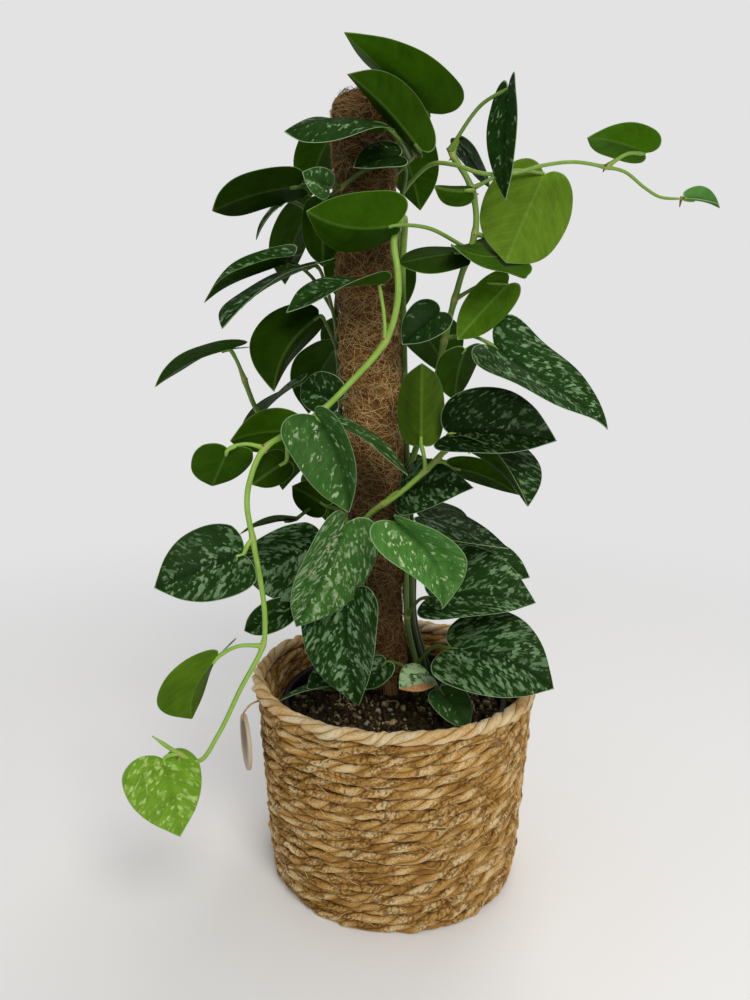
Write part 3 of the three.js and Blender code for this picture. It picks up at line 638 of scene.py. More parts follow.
def blade_frame(leaf):
    """The way a blade points, the side that it shows the eye (or the sky), and its length."""
    way = leaf.tip - leaf.base
    length = np.linalg.norm(way)
    x = way / length
    facing = np.array([0.0, 0.0, 1.0]) if leaf.sky else unit(EYE - (leaf.base + leaf.tip) / 2)
    return x, unit(facing - x * (facing @ x)), length


def blade_points(leaf, along, cross):
    """Points of a blade without thickness. along runs from the notch to the tip and cross from the
    left margin, 1, to the right one, -1. lobe lengthens the lobes behind the base, belly moves the
    widest place towards the tip and lean widens the left half. Both halves fan up from the midrib,
    which is bowed up by arch and to the left by sweep, the margin ripples, and the whole is rolled
    about the line from base to tip by turn, and by twist more at the tip."""
    x, normal, length = blade_frame(leaf)
    side, out = np.where(cross < 0, -1, 1), np.abs(cross)
    outline = margin(along)
    ahead = np.maximum(outline[..., 0], 0)
    edge = np.minimum(outline[..., 0], 0) * leaf.lobe + ahead
    edge = edge + leaf.belly * ahead * (1 - ahead)
    s = along * (1 - out) + edge * out
    bow = 4 * s * (1 - s)
    half = leaf.share / 2 * (1 + side * leaf.lean) * length
    across = outline[..., 1] * out * half * side
    fan = np.radians(leaf.fold) * np.minimum(1, 0.4 + out)
    wave = np.sin(7 * along + side + leaf.phase) + 0.22 * np.sin(19 * along + 2 * side + leaf.phase)
    ripple = leaf.wave * length * 0.5 * out**2 * outline[..., 1] * wave
    y = across * np.cos(fan) + leaf.sweep * length * bow
    z = np.abs(across) * np.sin(fan) + leaf.arch * length * bow + ripple
    roll = np.radians(leaf.turn + leaf.twist * s)[..., None]
    up = normal * np.cos(roll) + np.cross(x, normal) * np.sin(roll)
    left = np.cross(up, x)
    points = leaf.base + s[..., None] * length * x + y[..., None] * left + z[..., None] * up
    return points, s * length, across, up


def blade(leaf):
    """A closed blade: an upper and an under skin that meet along the margin. The upper one is
    grooved along the midrib and quilted between the side veins, the under one has the midrib as
    a rib that thins towards the tip."""
    along = np.linspace(0, 1, BLADE.stations)[:, None] ** 0.92
    cross = np.concatenate([OUTS[::-1], -OUTS[1:]])[None, :]
    along, cross = np.broadcast_arrays(along, cross)
    points, s, across, up = blade_points(leaf, along, cross)
    out, off_rib = np.abs(cross), np.abs(across)
    normal = np.cross(np.gradient(points, axis=0), np.gradient(points, axis=1))
    normal[[0, -1]] = normal[[1, -2]]
    normal = unit(normal)
    normal *= np.sign((normal * up).sum(-1))[..., None]

    vein = s - 0.35 * off_rib - 0.012 * across**2
    closing = np.sqrt(1 - out**14) * np.sqrt(np.clip(1 - (2 * along - 1) ** 20, 0, 1))
    inside = smooth(1 - out, 0, 0.25) * smooth(along, 0, 0.12) * smooth(1 - along, 0, 0.12)
    thin = 0.35 + 0.65 * smooth(1 - along, 0, 0.7)
    quilt = BLADE.quilt * np.cos(2 * np.pi * vein / BLADE.vein_gap) * inside * smooth(off_rib, 1, 6)
    groove = BLADE.groove * hump(across, 1.5) * inside * thin
    rib = BLADE.rib * hump(across, 1.6) * thin * inside
    upper = points + normal * (BLADE.half * closing + quilt - groove)[..., None]
    under = points - normal * (BLADE.half * closing - quilt + rib)[..., None]
    faces = net(*along.shape)
    # The distance from the margin, which on the midrib is taken as far
    far = 20
    edge = (1 - out) * np.where(out > 0, off_rib / np.maximum(out, 1e-6), far)
    shift = 3.7 * leaf.phase
    dry = 0 if leaf.dry is None else hump(along - leaf.dry, 0.3) * smooth(cross, 0.15, 0.75) * 1.2
    return Skin(
        np.stack([upper, under]),
        np.concatenate([faces, faces[:, ::-1] + along.size]),
        np.stack([grid(vein / 10 + shift, across / 10 + 0.4 * shift)] * 2),
        finish=np.repeat([0, 1], len(faces)),
        rib=off_rib, edge=edge, dry=dry,
        silver=leaf.silver, young=leaf.young, lime=leaf.lime, deep=leaf.deep,
    ).outward()


def petiole(leaf, stem):
    """A petiole from the nearest place on its stem to the leaf's notch, and on under the midrib
    where it comes from behind. It is thick where it clasps the stem, slim along its middle and a
    little swollen at the blade."""
    near = stem[np.argmin(np.linalg.norm(stem - leaf.joint, axis=1))]
    way = leaf.tip - leaf.base
    spot = np.array(min(0.5, PETIOLE.under / np.linalg.norm(way)))
    mid, _, _, up = blade_points(leaf, spot, np.array(0.0))
    bend = leaf.by
    if bend is None:
        gap = leaf.base - near
        bend = near + 0.55 * gap + [0, 0, 0.12 * np.linalg.norm(gap)]
    points = [near, bend, leaf.base - 0.6 * up]
    if (leaf.base - bend) @ way > 0:
        points.append(mid - 1.1 * up)
    path = through(points, 1.8)
    run = np.linalg.norm(path - near, axis=1)
    gone = np.linspace(0, 1, len(path))
    to_blade = np.linalg.norm(path - leaf.base, axis=1)
    radius = PETIOLE.radius * (0.75 if leaf.small else 1)
    size = radius * (1 + 0.45 * hump(run, 6) + 0.2 * hump(to_blade - 4, 3.5) - 0.08 * gone)
    size = size * np.where(gone > 0.9, 0.8, 1)
    return tube(path, size, 8, 2, young=leaf.bright, scar=0.7 * hump(run, 2.2)), near


def stubs(near, stem, seed):
    """Short brown root stubs at a joint, pointing away from it, thinning to a blunt end."""
    chance = np.random.default_rng(seed)
    skins = []
    i = int(np.argmin(np.linalg.norm(stem - near, axis=1)))
    way = unit(stem[min(i + 1, len(stem) - 1)] - stem[max(i - 1, 0)])
    for _ in range(chance.integers(1, 3)):
        aside = unit(np.cross(way, chance.normal(size=3)))
        length = chance.uniform(3.5, 6.5)
        path = near + aside * np.linspace(1, length, 5)[:, None] + way * chance.uniform(-2, 2)
        skins.append(tube(path, np.linspace(1.0, 0.35, 5), 6, 2, bark=1))
    return skins


def vine(name, points, leaves, bright=0.3, slot="leaf", thick=(2.4, 2.0)):
    """A leafy stem: swollen at the joints where its petioles leave, with root stubs there, as thick
    as thick half way along and near its end, and drawn out thin at its tip."""
    stem = through(points, 2.5)
    skins = []
    along = np.linspace(0, 1, len(stem))
    size = np.interp(along, [0, 0.5, 1], [STEM.radius, *thick])
    scar = np.zeros(len(stem))
    for i, shape in enumerate(leaves):
        leaf = Sizes(**{**PLAIN, "bright": bright, "phase": 1.9 * i, **shape})
        stalk, near = petiole(leaf, stem)
        skins += [stalk, blade(leaf), *stubs(near, stem, len(name) * 31 + i)]
        away = np.linalg.norm(stem - near, axis=1)
        size = size + 0.65 * hump(away, 4)
        scar = np.maximum(scar, hump(away, 1.6))
    run = np.linalg.norm(stem - stem[-1], axis=1)
    size = np.minimum(size, STEM.thickest) * (0.3 + 0.7 * smooth(run, 0, 12))
    skins.append(tube(stem, size, 12, 2, young=bright * smooth(along, 0.1, 0.6), scar=scar))
    return piece(name, skins, [LEAF_UPPER, LEAF_UNDER, STEM_SKIN], slot, name)


def far_leaves(angle, low, high, step, seed):
    """Leaves that the front doesn't show: one at each height, to either side in turn, held out on
    its petiole with its tip hanging."""
    chance = stream(seed)
    leaves = []
    side = 1
    for z in range(low, high + 1, step):
        side = -side
        way = angle + side * 26 + (next(chance) - 0.5) * 16
        rise = 38 + next(chance) * 14
        reach = 40 + next(chance) * 26
        droop = 38 + next(chance) * 22
        length = 88 - (z - 200) * 0.045 + (next(chance) - 0.5) * 16
        joint = hug(angle, z)
        base = joint + heading(way, rise) * reach
        leaves.append(dict(
            joint=joint, base=base, tip=base + heading(way, -droop) * length, sky=True,
            turn=(next(chance) - 0.5) * 30, fold=10, share=0.77, arch=0.1,
            silver=0.45 + 0.5 * abs(math.sin(z)), young=0.15,
        ))
    return leaves


def grow(*points):
    """The seen places that a stem grows through."""
    return [at(*p) for p in points]


def sprout(joint, base, tip, turn, fold, share, **shape):
    """A leaf by the seen places of its joint, notch and tip, and by how its blade is rolled,
    folded and wide for its length."""
    joint, base, tip = grow(joint, base, tip)
    return dict(joint=joint, base=base, tip=tip, turn=turn, fold=fold, share=share, **shape)


# What the plant stands in


def wall_radius(z):
    """The basket leans out going up and is tucked in at its toe."""
    toe = 1 - np.clip(z / BASKET.toe, 0, 1)
    lean = (BASKET.top - BASKET.base) * np.maximum(z / BASKET.height, 0) ** 0.8
    return BASKET.base + lean - BASKET.tuck * toe * toe


def rope(turn, radius, z, size, rolls, seed, fade=1.0, sides=18):
    """A cord of plies laid round Z, as a grid of points with the marks of its finish. Its section
    is one circle of radius r for each ply, set c out from the middle: at the angle d from the
    middle of the nearest ply the skin lies c cos d + root(r^2 - c^2 sin^2 d) out. The section
    rolls as it goes, and seeded unevenness makes it wander, swell and crumple."""
    a = circle(sides)
    step = 2 * np.pi / PLY.count
    d = (a + step / 2) % step - step / 2
    outline = PLY.out * np.cos(d) + np.sqrt(PLY.radius**2 - (PLY.out * np.sin(d)) ** 2)
    place = around(turn, np.mean(radius), 0)[:, :2]
    east, north = place[:, :1], place[:, 1:]
    roll = turn * rolls + seed * 1.7
    roll = roll + 0.7 * ripples(place, 90, seed + 1) + 0.3 * ripples(place, 30, seed + 2)
    spot = grid(east, north, 60.0 * np.floor((a + step / 2) / step % PLY.count))
    odd = 0.5 + 0.42 * ripples(spot, 26, seed + 7)
    swell = 1 + 0.1 * ripples(spot, 30, seed + 3)
    spot = grid(east, north, 6 * np.cos(a), 6 * np.sin(a))
    reach = size * np.broadcast_to(fade, turn.shape)[:, None] * outline
    reach = reach * swell * (1 + 0.06 * ripples(spot, 7, seed + 4))
    angle = a + roll[:, None]
    ring = (radius + 0.6 * ripples(place, 50, seed + 5))[:, None] + reach * np.cos(angle)
    height = (z + 0.5 * ripples(place, 45, seed + 6))[:, None] + 0.9 * reach * np.sin(angle)
    points = around(turn[:, None], ring, np.maximum(height, 0))
    run = turn * np.mean(radius) / 10 + 0.37 * seed
    flat = grid(run[:, None], a * size / 10 + 1.3 * seed)
    # How far into the furrow between plies each point lies. The finish paints the furrows darker with it,
    # as painted shade, and keeps the ply tops paler, as a painted highlight.
    deep = (1 - outline) / (1 - outline.min())
    return sheet(points, flat, deep=deep, odd=odd)


def crisp(profile, cut):
    """A profile with each inner corner cut off by a little, so that its edges catch the light."""
    p = np.array(profile, float)
    back = p[1:-1] + unit(p[:-2] - p[1:-1]) * cut
    ahead = p[1:-1] + unit(p[2:] - p[1:-1]) * cut
    inner = np.stack([back, ahead], axis=1).reshape(-1, 2)
    return np.vstack([p[:1], inner, p[-1:]])


def hairs(count, seed, height, reach, lift, size):
    """Loose ends of seagrass on the wall: each lies along the cord with a bend and lifts off it by
    lift times the square of the way along."""
    chance = np.random.default_rng(seed)
    each = (count, 1)
    mean_radius = 110
    turn = chance.uniform(0, 2 * np.pi, each)
    z = chance.uniform(*height, each)
    slope = chance.uniform(-0.9, 0.9, each)
    length = chance.uniform(*reach, each)
    way = chance.choice([-1, 1], each)
    t = np.linspace(0, 1, 7)
    up = z + length * (slope * t + chance.uniform(-0.5, 0.5, each) * t * t)
    up = np.clip(up, 1, BASKET.height + 4)
    ring = wall_radius(z) + 0.2 + chance.uniform(0.2, 1, each) * lift * t * t
    lines = around(turn + way * length * t / mean_radius, ring, up)
    return strands(lines, np.full(count, size), np.full(count, 0.9))


def cord_rows():
    """The wall: rows of cord laid on each other, in front of a thin inner wall that shows between
    them, painted dark as shade between the rows, with loose ends of grass."""
    skins = []
    for row in range(BASKET.rows):
        z = max((row + 0.5) * BASKET.height / BASKET.rows, WALL_CORD.lowest)
        radius = wall_radius(z) - WALL_CORD.inset
        skins.append(rope(circle(240), radius, z, WALL_CORD.size, WALL_CORD.rolls, row))
    z = np.array([2.0, 20, 60, 110, 174])
    half = 0.6
    r = wall_radius(z) - 4.6
    core = [(r[0] - half, z[0]), *zip(r + half, z), *zip(r[::-1] - half, z[::-1])]
    skins.append(turned(core, 96, deep=1.0, odd=0.2))
    skins.append(hairs(760, 5, height=(6, 170), reach=(3, 13), lift=2.4, size=0.16))
    return skins


def cord_base():
    """The base: rings of cord inside each other on a thin disc, painted dark as shade between them."""
    skins = []
    for r in np.arange(BASE_CORD.first, BASE_CORD.last, BASE_CORD.pitch):
        rolls = round(r / BASE_CORD.first)
        skins.append(rope(circle(72), r, BASE_CORD.z, BASE_CORD.size, rolls, int(r), sides=12))
    low, high = BASE_CORD.z - 0.4, BASE_CORD.z + 0.4
    disc = [(0, low), (BASE_CORD.disc, low), (BASE_CORD.disc, high), (0, high)]
    return skins + [turned(disc, 96, deep=1.0, odd=0.2)]


def rim_cord():
    """The rim: a thick pale cord once round the top. It begins blunt at the front left, and its
    other end thins and ducks down inside the beginning."""
    end = RIM_END
    turn = np.radians(np.linspace(end.begin, end.begin + end.sweep, 680))
    run = np.linspace(0, 1, len(turn)) * RIM.radius * np.radians(end.sweep)
    left = run[-1] - run
    fade = np.sqrt(np.clip(1 - (1 - np.minimum(run / end.blunt, 1)) ** 2, 0, 1))
    fade = fade * (0.45 + 0.55 * smooth(left, 0, end.taper)) * smooth(left, 0, 2)
    duck = 1 - smooth(left, 8, end.dive)
    radius, z = RIM.radius - end.inward * duck, RIM.z - end.down * duck
    return [rope(turn, radius, z, RIM.strand, RIM.rolls, 71, fade, 24)]


def nursery_pot():
    """The pot: a thin tapered shell with a rolled lip and a flat floor."""
    low, top, wall, lip = POT.base, POT.top, POT.wall, POT.lip
    floor, height = POT.floor, POT.height
    shoulder = height - POT.lip_height
    return [turned(crisp([
        (0, floor), (low, floor), (top, shoulder), (top + lip, shoulder), (top + lip, height),
        (top - wall, height), (top - wall, shoulder), (low - wall, floor + wall), (0, floor + wall),
    ], 0.7), 120)]


def soil_top(place):
    """The soil is heaped round the pole and lumpy: lumps of three sizes on a shallow dome."""
    share = np.hypot(place[..., 0], place[..., 1]) / POT.top
    lumps = 2.0 * ripples(place, 26, 3) + 1.5 * ripples(place, 11, 4) + 0.9 * ripples(place, 5, 8, 11)
    return SOIL.level + SOIL.mound * (1 - share**2) + lumps * smooth(1 - share, 0.03, 0.15)


def on_soil(turn, away, above):
    """Places over the lumps, by an angle, a distance from the middle and a height above them."""
    place = around(turn, away, 0.0)
    place[..., 2] = soil_top(place[..., :2]) + above
    return place


def soil_body():
    """Soil that fills the pot: a polar grid over the top, then down the side and across below."""
    rings = 64
    r = np.concatenate([np.linspace(0, SOIL.top, rings), [SOIL.top, SOIL.bottom, SOIL.bottom, 0]])
    points = on_soil(circle(180), r[:, None], 0)
    points[rings, :, 2] = SOIL.level - 8
    points[rings + 1:, :, 2] = SOIL.bed
    points[:, -1] = points[:, 0]
    return sheet(points, points[..., :2] / 10, odd=0.1)


def crumbs(count, seed):
    """Bits of bark, soil and white grain strewn on the soil: each an icosahedron, with a face for
    every three corners that are neighbours. Its corners are pulled in or out by chance, and it is
    squashed, turned and set a third of the way into the soil."""
    chance = np.random.default_rng(seed)
    g = (1 + 5**0.5) / 2
    corners = unit(np.array([
        [-1, g, 0], [1, g, 0], [-1, -g, 0], [1, -g, 0], [0, -1, g], [0, 1, g],
        [0, -1, -g], [0, 1, -g], [g, 0, -1], [g, 0, 1], [-g, 0, -1], [-g, 0, 1],
    ]))
    near = np.triu(corners @ corners.T > 0.4, 1)
    faces = np.argwhere(near[:, :, None] & near & near[:, None])
    faces = np.where(np.linalg.det(corners[faces])[:, None] < 0, faces[:, ::-1], faces)
    turn = chance.uniform(0, 2 * np.pi, count)
    away = STREWN * np.sqrt(chance.uniform(0.03, 1, count))
    size = 0.9 + 3.2 * chance.uniform(0, 1, count) ** 2.2
    squash = chance.uniform(0.5, 1.25, (count, 1, 3))
    shape = corners * chance.uniform(0.72, 1.25, (count, 12, 1)) * squash * size[:, None, None]
    spin = chance.uniform(0, 2 * np.pi, (count, 1))
    x, y, z = shape[..., 0], shape[..., 1], shape[..., 2]
    shape = grid(x * np.cos(spin) - y * np.sin(spin), x * np.sin(spin) + y * np.cos(spin), z)
    points = shape + on_soil(turn, away, 0.35 * size)[:, None]
    every = faces + 12 * np.arange(count)[:, None, None]
    kind = chance.uniform(0, 1, count)
    bark = 0.35 + 0.5 * chance.uniform(0, 1, count)
    soil_share, grain_share = 0.62, 0.025
    odd = np.where(kind < soil_share, 0.3 * kind, np.where(kind < 1 - grain_share, bark, 1.0))
    return Skin(points, every, points[..., :2] / 10, odd=odd[:, None])


def twigs(count, seed):
    """Dry twigs on the soil: each a bent rod that lies on the lumps and thins to one end."""
    chance = np.random.default_rng(seed)
    skins = []
    for _ in range(count):
        turn, away, way = chance.uniform(0, 2 * np.pi), chance.uniform(25, 80), chance.uniform(0, 2 * np.pi)
        run = np.linspace(0, chance.uniform(10, 24), 9)
        bend = way + chance.normal(0, 0.05) * run
        x = away * np.cos(turn) + np.cumsum(np.cos(bend)) * run[1]
        y = away * np.sin(turn) + np.cumsum(np.sin(bend)) * run[1]
        path = grid(x, y, soil_top(grid(x, y)) + 1.2 + 0.8 * np.sin(run / 4))
        skins.append(tube(path[np.hypot(x, y) < STREWN], 0.8, 6, odd=0.8))
    return skins


def matting(turn, z):
    """How far the coir is lumped in or out: ripples laid round the pole."""
    return 0.8 * ripples(around(turn, MAT.radius, z), 9, 21)


def over_dome(rise):
    """The radius and the height of the coir's rounded top where it has turned in by an angle."""
    return POLE.radius * (0.25 + 0.75 * np.cos(rise)), POLE.top - MAT.dome + MAT.dome * np.sin(rise)


def sleeve():
    """The matted coir under its strands: rings up the leaning pole, closed over the top by a dome,
    rough by ripples of two sizes, and marked to be painted darker as shade under the strands."""
    z = np.linspace(POLE.coir_foot, POLE.top - MAT.dome, 130)
    dome_r, dome_z = over_dome(np.linspace(0, np.pi / 2, 14)[1:])
    r = np.concatenate([[0], pole_radius(z), dome_r, [0]])[:, None]
    z = np.concatenate([z[:1], z, dome_z, [POLE.top]])[:, None]
    turn = circle(72)
    rough = -1.3 + matting(turn, z) + 0.5 * ripples(around(turn, MAT.radius, z), 4, 22, 11)
    points = by_pole(turn, np.maximum(r + rough * (r > 1), 0), z)
    points[:, -1] = points[:, 0]
    return sheet(points, points[..., :2] / 10, odd=0.1, deep=1)


def coir_strands(count, seed, low, high):
    """Coconut fibres on the sleeve: each runs over it at a chance slope with a steady bend, found
    by summing its steps, and rises and falls a little. A share of them lift off at one end."""
    chance = np.random.default_rng(seed)
    stations, free = 7, 0.12
    each = (count, 1)
    length = chance.uniform(9, 30, each)
    slope = chance.normal(0, 0.9, each)
    bend = chance.normal(0, 0.045, each)
    t = np.linspace(-0.5, 0.5, stations)
    step = length / (stations - 1)
    way = slope + bend * length * t
    across = np.cumsum(np.cos(way) * step, axis=1)
    z = chance.uniform(low, high, each) + np.cumsum(np.sin(way) * step, axis=1)
    z = np.where(z > high, 2 * high - z, z)
    turn = chance.uniform(0, 2 * np.pi, each) + across / MAT.radius
    loose = (chance.uniform(0, 1, each) < free) * chance.uniform(1, 4, each)
    lift = chance.uniform(-1.2, 1.1, each) + 0.4 * np.sin(9 * t + slope * 7)
    lift = lift + loose * np.clip(2 * t, 0, 1) ** 2 + matting(turn, z)
    lines = by_pole(turn, pole_radius(z) + lift, z)
    # Each strand's tone is partly random and partly painted shade: strands lying low on the mat are darker,
    # those lifted off it paler.
    odd = np.clip(chance.normal(0.64, 0.42, count) + 0.35 * lift.mean(axis=1), 0, 1)
    return strands(lines, chance.uniform(0.1, 0.23, count), odd)


def coir_top(count, seed):
    """Fibres over the dome and the frayed ends that stand up round it: arcs over the top from one
    side towards the other, some of them ending in the air."""
    chance = np.random.default_rng(seed)
    each, free = (count, 1), 0.25
    t = np.linspace(0, 1, 9)
    turn = chance.uniform(0, 2 * np.pi, each) + chance.normal(0, 0.8, each) * t
    rise = np.minimum(chance.uniform(0, 1.2, each) + chance.uniform(0.3, 1.1, each) * t, 1.5)
    loose = (chance.uniform(0, 1, each) < free) * chance.uniform(1, 5, each) * t * t
    reach, z = over_dome(rise)
    reach = reach * np.where(rise > 1.45, 0.6, 1) - 0.4 + 0.6 * loose
    lines = by_pole(turn, reach, z + 0.5 + 0.8 * loose)
    odd = np.clip(chance.normal(0.62, 0.36, count), 0, 1)
    return strands(lines, chance.uniform(0.12, 0.26, count), odd)


def round_tag():
    """A thin disc with a hole near its edge: the grid runs from the hole's ring to the outer ring
    on one face, over the edge, and back on the other face, and stands facing out of the basket."""
    ring = around(circle(72), 1, 0)[:, :2]
    hole = ring * TAG.hole + [0, TAG.radius - TAG.hole_in]
    shares = np.array([0, 0.06, 0.5, 0.975, 1, 1, 0.975, 0.5, 0.06, 0, 0])[:, None, None]
    depth = np.array([0.8, 1, 1, 1, 0.8, -0.8, -1, -1, -1, -0.8, 0.8]) * TAG.thickness / 2
    flat = hole * (1 - shares) + ring * TAG.radius * shares
    out = heading(TAG.angle, 0)
    aside = np.array([-out[1], out[0], 0])
    points = out * TAG.distance + [0, 0, TAG.z] + flat[..., :1] * aside + flat[..., 1:] * [0, 0, 1]
    points = points + depth[:, None, None] * out
    return sheet(points, flat / 10, edge=shares[..., 0] > 0.97)


def tag_twine():
    """The twine's route: out of the weave, over, and down to the tag's hole."""
    weave, hang = wall_radius(167), TAG.distance
    route = [(weave - 3, 167), (weave + 2, 168), (hang - 5, 166), (hang + 1.2, 159), (hang + 2.2, 154),
             (hang, 151)]
    points = [heading(TAG.angle, 0) * reach + [0, 0, z] for reach, z in route]
    return tube(through(points, 0.8), 0.8, 8, 1)


LEAF_UPPER, LEAF_UNDER, STEM_SKIN = leaf_upper(), leaf_under(), stem_skin()
CORD = seagrass("seagrass", 0x986A2A, 0xDCAC5C, 0xFFE8B4, 1.0)
RIM_CORD = seagrass("rim_cord", 0xDCA252, 0xFBDCA2, 0xFFF0CC, 0.3)
COIR = coir()

# The camera stands where the view was taken.
lens = bpy.data.cameras.new("camera")
lens.lens = FOCAL / VIEW_HEIGHT * SENSOR
lens.sensor_width = SENSOR
lens.clip_start = 0.01
camera = put("camera", lens)
camera.location = EYE * MM
camera.rotation_euler = (math.pi / 2 - TILT, 0, 0)
bpy.context.scene.camera = camera
bpy.context.scene.view_settings.view_transform = "Standard"

# The pole's top: the leaves that stand above it
vine("top_vine", climb(62, 575) + grow((410, 158, 8), (419, 146, -2), (427, 132, -6)), [
    sprout((424, 136, -5), (429, 113, -8), (344, 32, -55), 117, 20, 0.95, arch=0, belly=-0.3, young=0.5),
    sprout((415, 152, 2), (420, 150, -30), (347, 74, -62), 149, 47, 0.58, belly=0.2, young=0.2, deep=0.4),
    sprout((409, 158, 8), (381, 123, -44), (284, 132, -61), 88, -15, 0.8, by=at(398, 138, -34), twist=-18,
           lobe=0.8, belly=0.35, wave=0.1, phase=4.4, silver=0.5),
])

# The runner that reaches out to the right from the pole's top
vine("runner_vine", climb(41, 560) + grow(
    (428, 166, -12), (455, 165, -32), (480, 173, -42), (510, 174, -46), (545, 165, -42), (575, 162, -34),
    (605, 167, -28), (625, 172, -24), (645, 188, -22), (660, 197, -20), (684, 199, -20),
), [
    sprout((607, 168, -28), (645, 153, -20), (587, 138, -35), 130, 7, 0.88, belly=-0.15, young=0.9),
    sprout((680, 199, -20), (687, 199, -20), (720, 208, -18), -63, 33, 0.8, lobe=1.2, small=True, young=0.9,
           silver=0),
], bright=0.7, thick=(2.0, 1.1))

# The bright vine: up the pole's right side, over its front and down to the left, past the basket
vine("trailing_vine", climb(0, 515) + grow(
    (404, 218, -26), (394, 240, -44), (398, 275, -52), (397, 305, -52), (386, 340, -50), (350, 383, -55),
    (318, 414, -62), (290, 432, -68), (264, 449, -75), (250, 480, -80), (247, 505, -84), (253, 540, -88),
    (262, 590, -92), (265, 620, -95), (263, 645, -100), (240, 690, -105), (218, 735, -108),
    (199, 761, -110), (178, 753, -112), (152, 736, -113),
), [
    sprout((385, 342, -50), (379, 284, -60), (286, 313, -85), 98, 14, 0.65, by=at(384, 315, -52), twist=-45,
           arch=0.09, silver=0.5, young=0.15),
    sprout((322, 410, -61), (316, 416, -80), (349, 513, -90), 30, 39, 0.87, sweep=0.14, lobe=0.8,
           belly=-0.26, silver=0.4, young=0.5),
    sprout((264, 449, -75), (228, 449, -84), (212, 486, -58), 156, 3, 0.97, arch=0, belly=0.3, young=0.3),
    sprout((318, 414, -62), (330, 421, -57), (408, 476, -58), -74, 6, 0.6, young=0.3),
    sprout((288, 433, -68), (286, 461, -62), (252, 485, -72), 173, 16, 0.87, deep=0.3),
    sprout((253, 538, -88), (243, 554, -94), (154, 588, -120), 15, 5, 0.85, lobe=0.6, silver=0.7, deep=0.3),
    sprout((263, 645, -100), (218, 656, -106), (192, 719, -98), 118, 15, 1.15, arch=0.05, sweep=0.15,
           lobe=1.2, belly=0.26, young=0.6, lime=0.3),
    sprout((180, 754, -112), (164, 759, -114), (180, 837, -150), -5, 6, 0.98, lean=-0.15, belly=-0.25,
           silver=0.65, lime=1, young=1),
], bright=1.0, slot="young_leaf", thick=(2.6, 1.6))

# The right-hand vine
vine("right_vine", climb(-22, 345) + grow(
    (432, 400, -5), (445, 337, -15), (460, 280, -20), (476, 225, -22), (470, 185, -20), (447, 148, -15),
), [
    sprout((470, 250, -21), (396, 225, -54), (306, 211, -92), 160, 24, 0.72, by=at(428, 228, -44),
           arch=0.02, sweep=-0.1, belly=-0.3, young=0.4, deep=0.45),
    sprout((445, 337, -15), (494, 346, -26), (608, 430, -52), -37, 18, 0.73, twist=-40, sweep=-0.09,
           lean=-0.1, wave=0.14, phase=6.1, silver=0.7),
    sprout((436, 378, -8), (465, 349, -30), (455, 401, -14), 137, 3, 0.95, by=at(452, 360, -22), lobe=0.9),
    sprout((462, 300, -19), (508, 284, -30), (457, 340, -40), 173, 15, 0.6, young=0.5, lime=0.15),
    sprout((476, 232, -22), (511, 256, -32), (451, 244, -68), 249, 5, 0.95, lobe=1.7, belly=-0.4, wave=0.14,
           young=0.3),
    sprout((471, 190, -20), (544, 174, -14), (506, 263, -50), 175, 20, 0.87, young=1, lime=0.6, deep=0.3),
    sprout((448, 150, -15), (508, 88, -58), (506, 201, -65), 62, 6, 0.52, arch=0.03, silver=0.4),
    sprout((452, 156, -16), (460, 141, -2), (490, 188, 10), 66, 4, 0.78, arch=0),
    sprout((471, 195, -21), (472, 191, -34), (434, 186, -45), 212, 40, 0.74, arch=0.1),
    sprout((466, 262, -21), (462, 254, -34), (398, 264, -42), 242, 4, 0.82, arch=-0.02, lobe=0.7, belly=0.4,
           deep=0.5),
    sprout((444, 340, -15), (440, 312, -30), (402, 345, -42), 24, 10, 0.85, silver=0.3, deep=0.6),
], bright=0.6, thick=(2.6, 2.2))

# The vine in front of the pole, at half height
vine("front_vine", climb(-144, 290) + [by_pole(math.radians(-120), 31, 312)] + grow(
    (372, 512, -38), (400, 493, -50), (440, 456, -50), (447, 445, -48),
), [
    sprout((446, 450, -46), (449, 434, -60), (557, 441, -84), -35, 28, 0.87, silver=0.62, deep=1.2),
    sprout((425, 470, -43), (421, 444, -52), (422, 363, -73), 181, 40, 0.72, lobe=0.6, lime=0.25),
    sprout((435, 462, -44), (453, 467, -48), (519, 495, -64), -119, 2, 0.7, belly=-0.35, deep=0.15),
    sprout((442, 456, -44), (464, 448, -62), (528, 507, -96), -75, 30, 0.97, lean=0.25, belly=0.45,
           silver=0.75, deep=0.4),
    sprout((385, 503, -44), (403, 491, -31), (474, 488, -62), -24, 5, 0.76, arch=0.15, belly=-0.45,
           silver=0.75, deep=0.5),
], bright=0.8)

# The lower right vine
vine("low_right_vine", climb(-42, 335), [
    sprout((395, 545, -20), (398, 523, -90), (442, 610, -90), 19, 45, 0.78, by=at(394, 552, -60), twist=-55,
           sweep=0.13, lobe=1.1, wave=0.1, phase=0.4, silver=0.4, young=1),
    sprout((395, 514, -20), (424, 517, -46), (509, 549, -54), -68, 3, 0.75, arch=0.02, belly=-0.3,
           silver=0.8, deep=0.8),
    sprout((395, 620, -20), (430, 597, -42), (536, 603, -64), -39, 23, 0.96, lobe=0.8, silver=0.75),
    sprout((395, 560, -20), (462, 556, -14), (530, 578, -30), -45, 8, 0.8),
    sprout((395, 670, -20), (451, 648, -64), (554, 689, -91), -33, 8, 0.96, sweep=0.05, silver=0.9,
           deep=0.35),
    sprout((395, 690, -20), (427, 674, -52), (399, 689, -72), 24, 4, 0.93, wave=0.12, silver=1.4, dry=0.75,
           young=0.4),
    sprout((395, 690, -20), (440, 690, -58), (469, 728, -76), -20, 10, 0.85, silver=0.35, young=0.3),
    sprout((395, 690, -20), (386, 662, -34), (366, 690, -44), 20, 8, 0.85, silver=0.7, deep=0.5),
], bright=0.3)

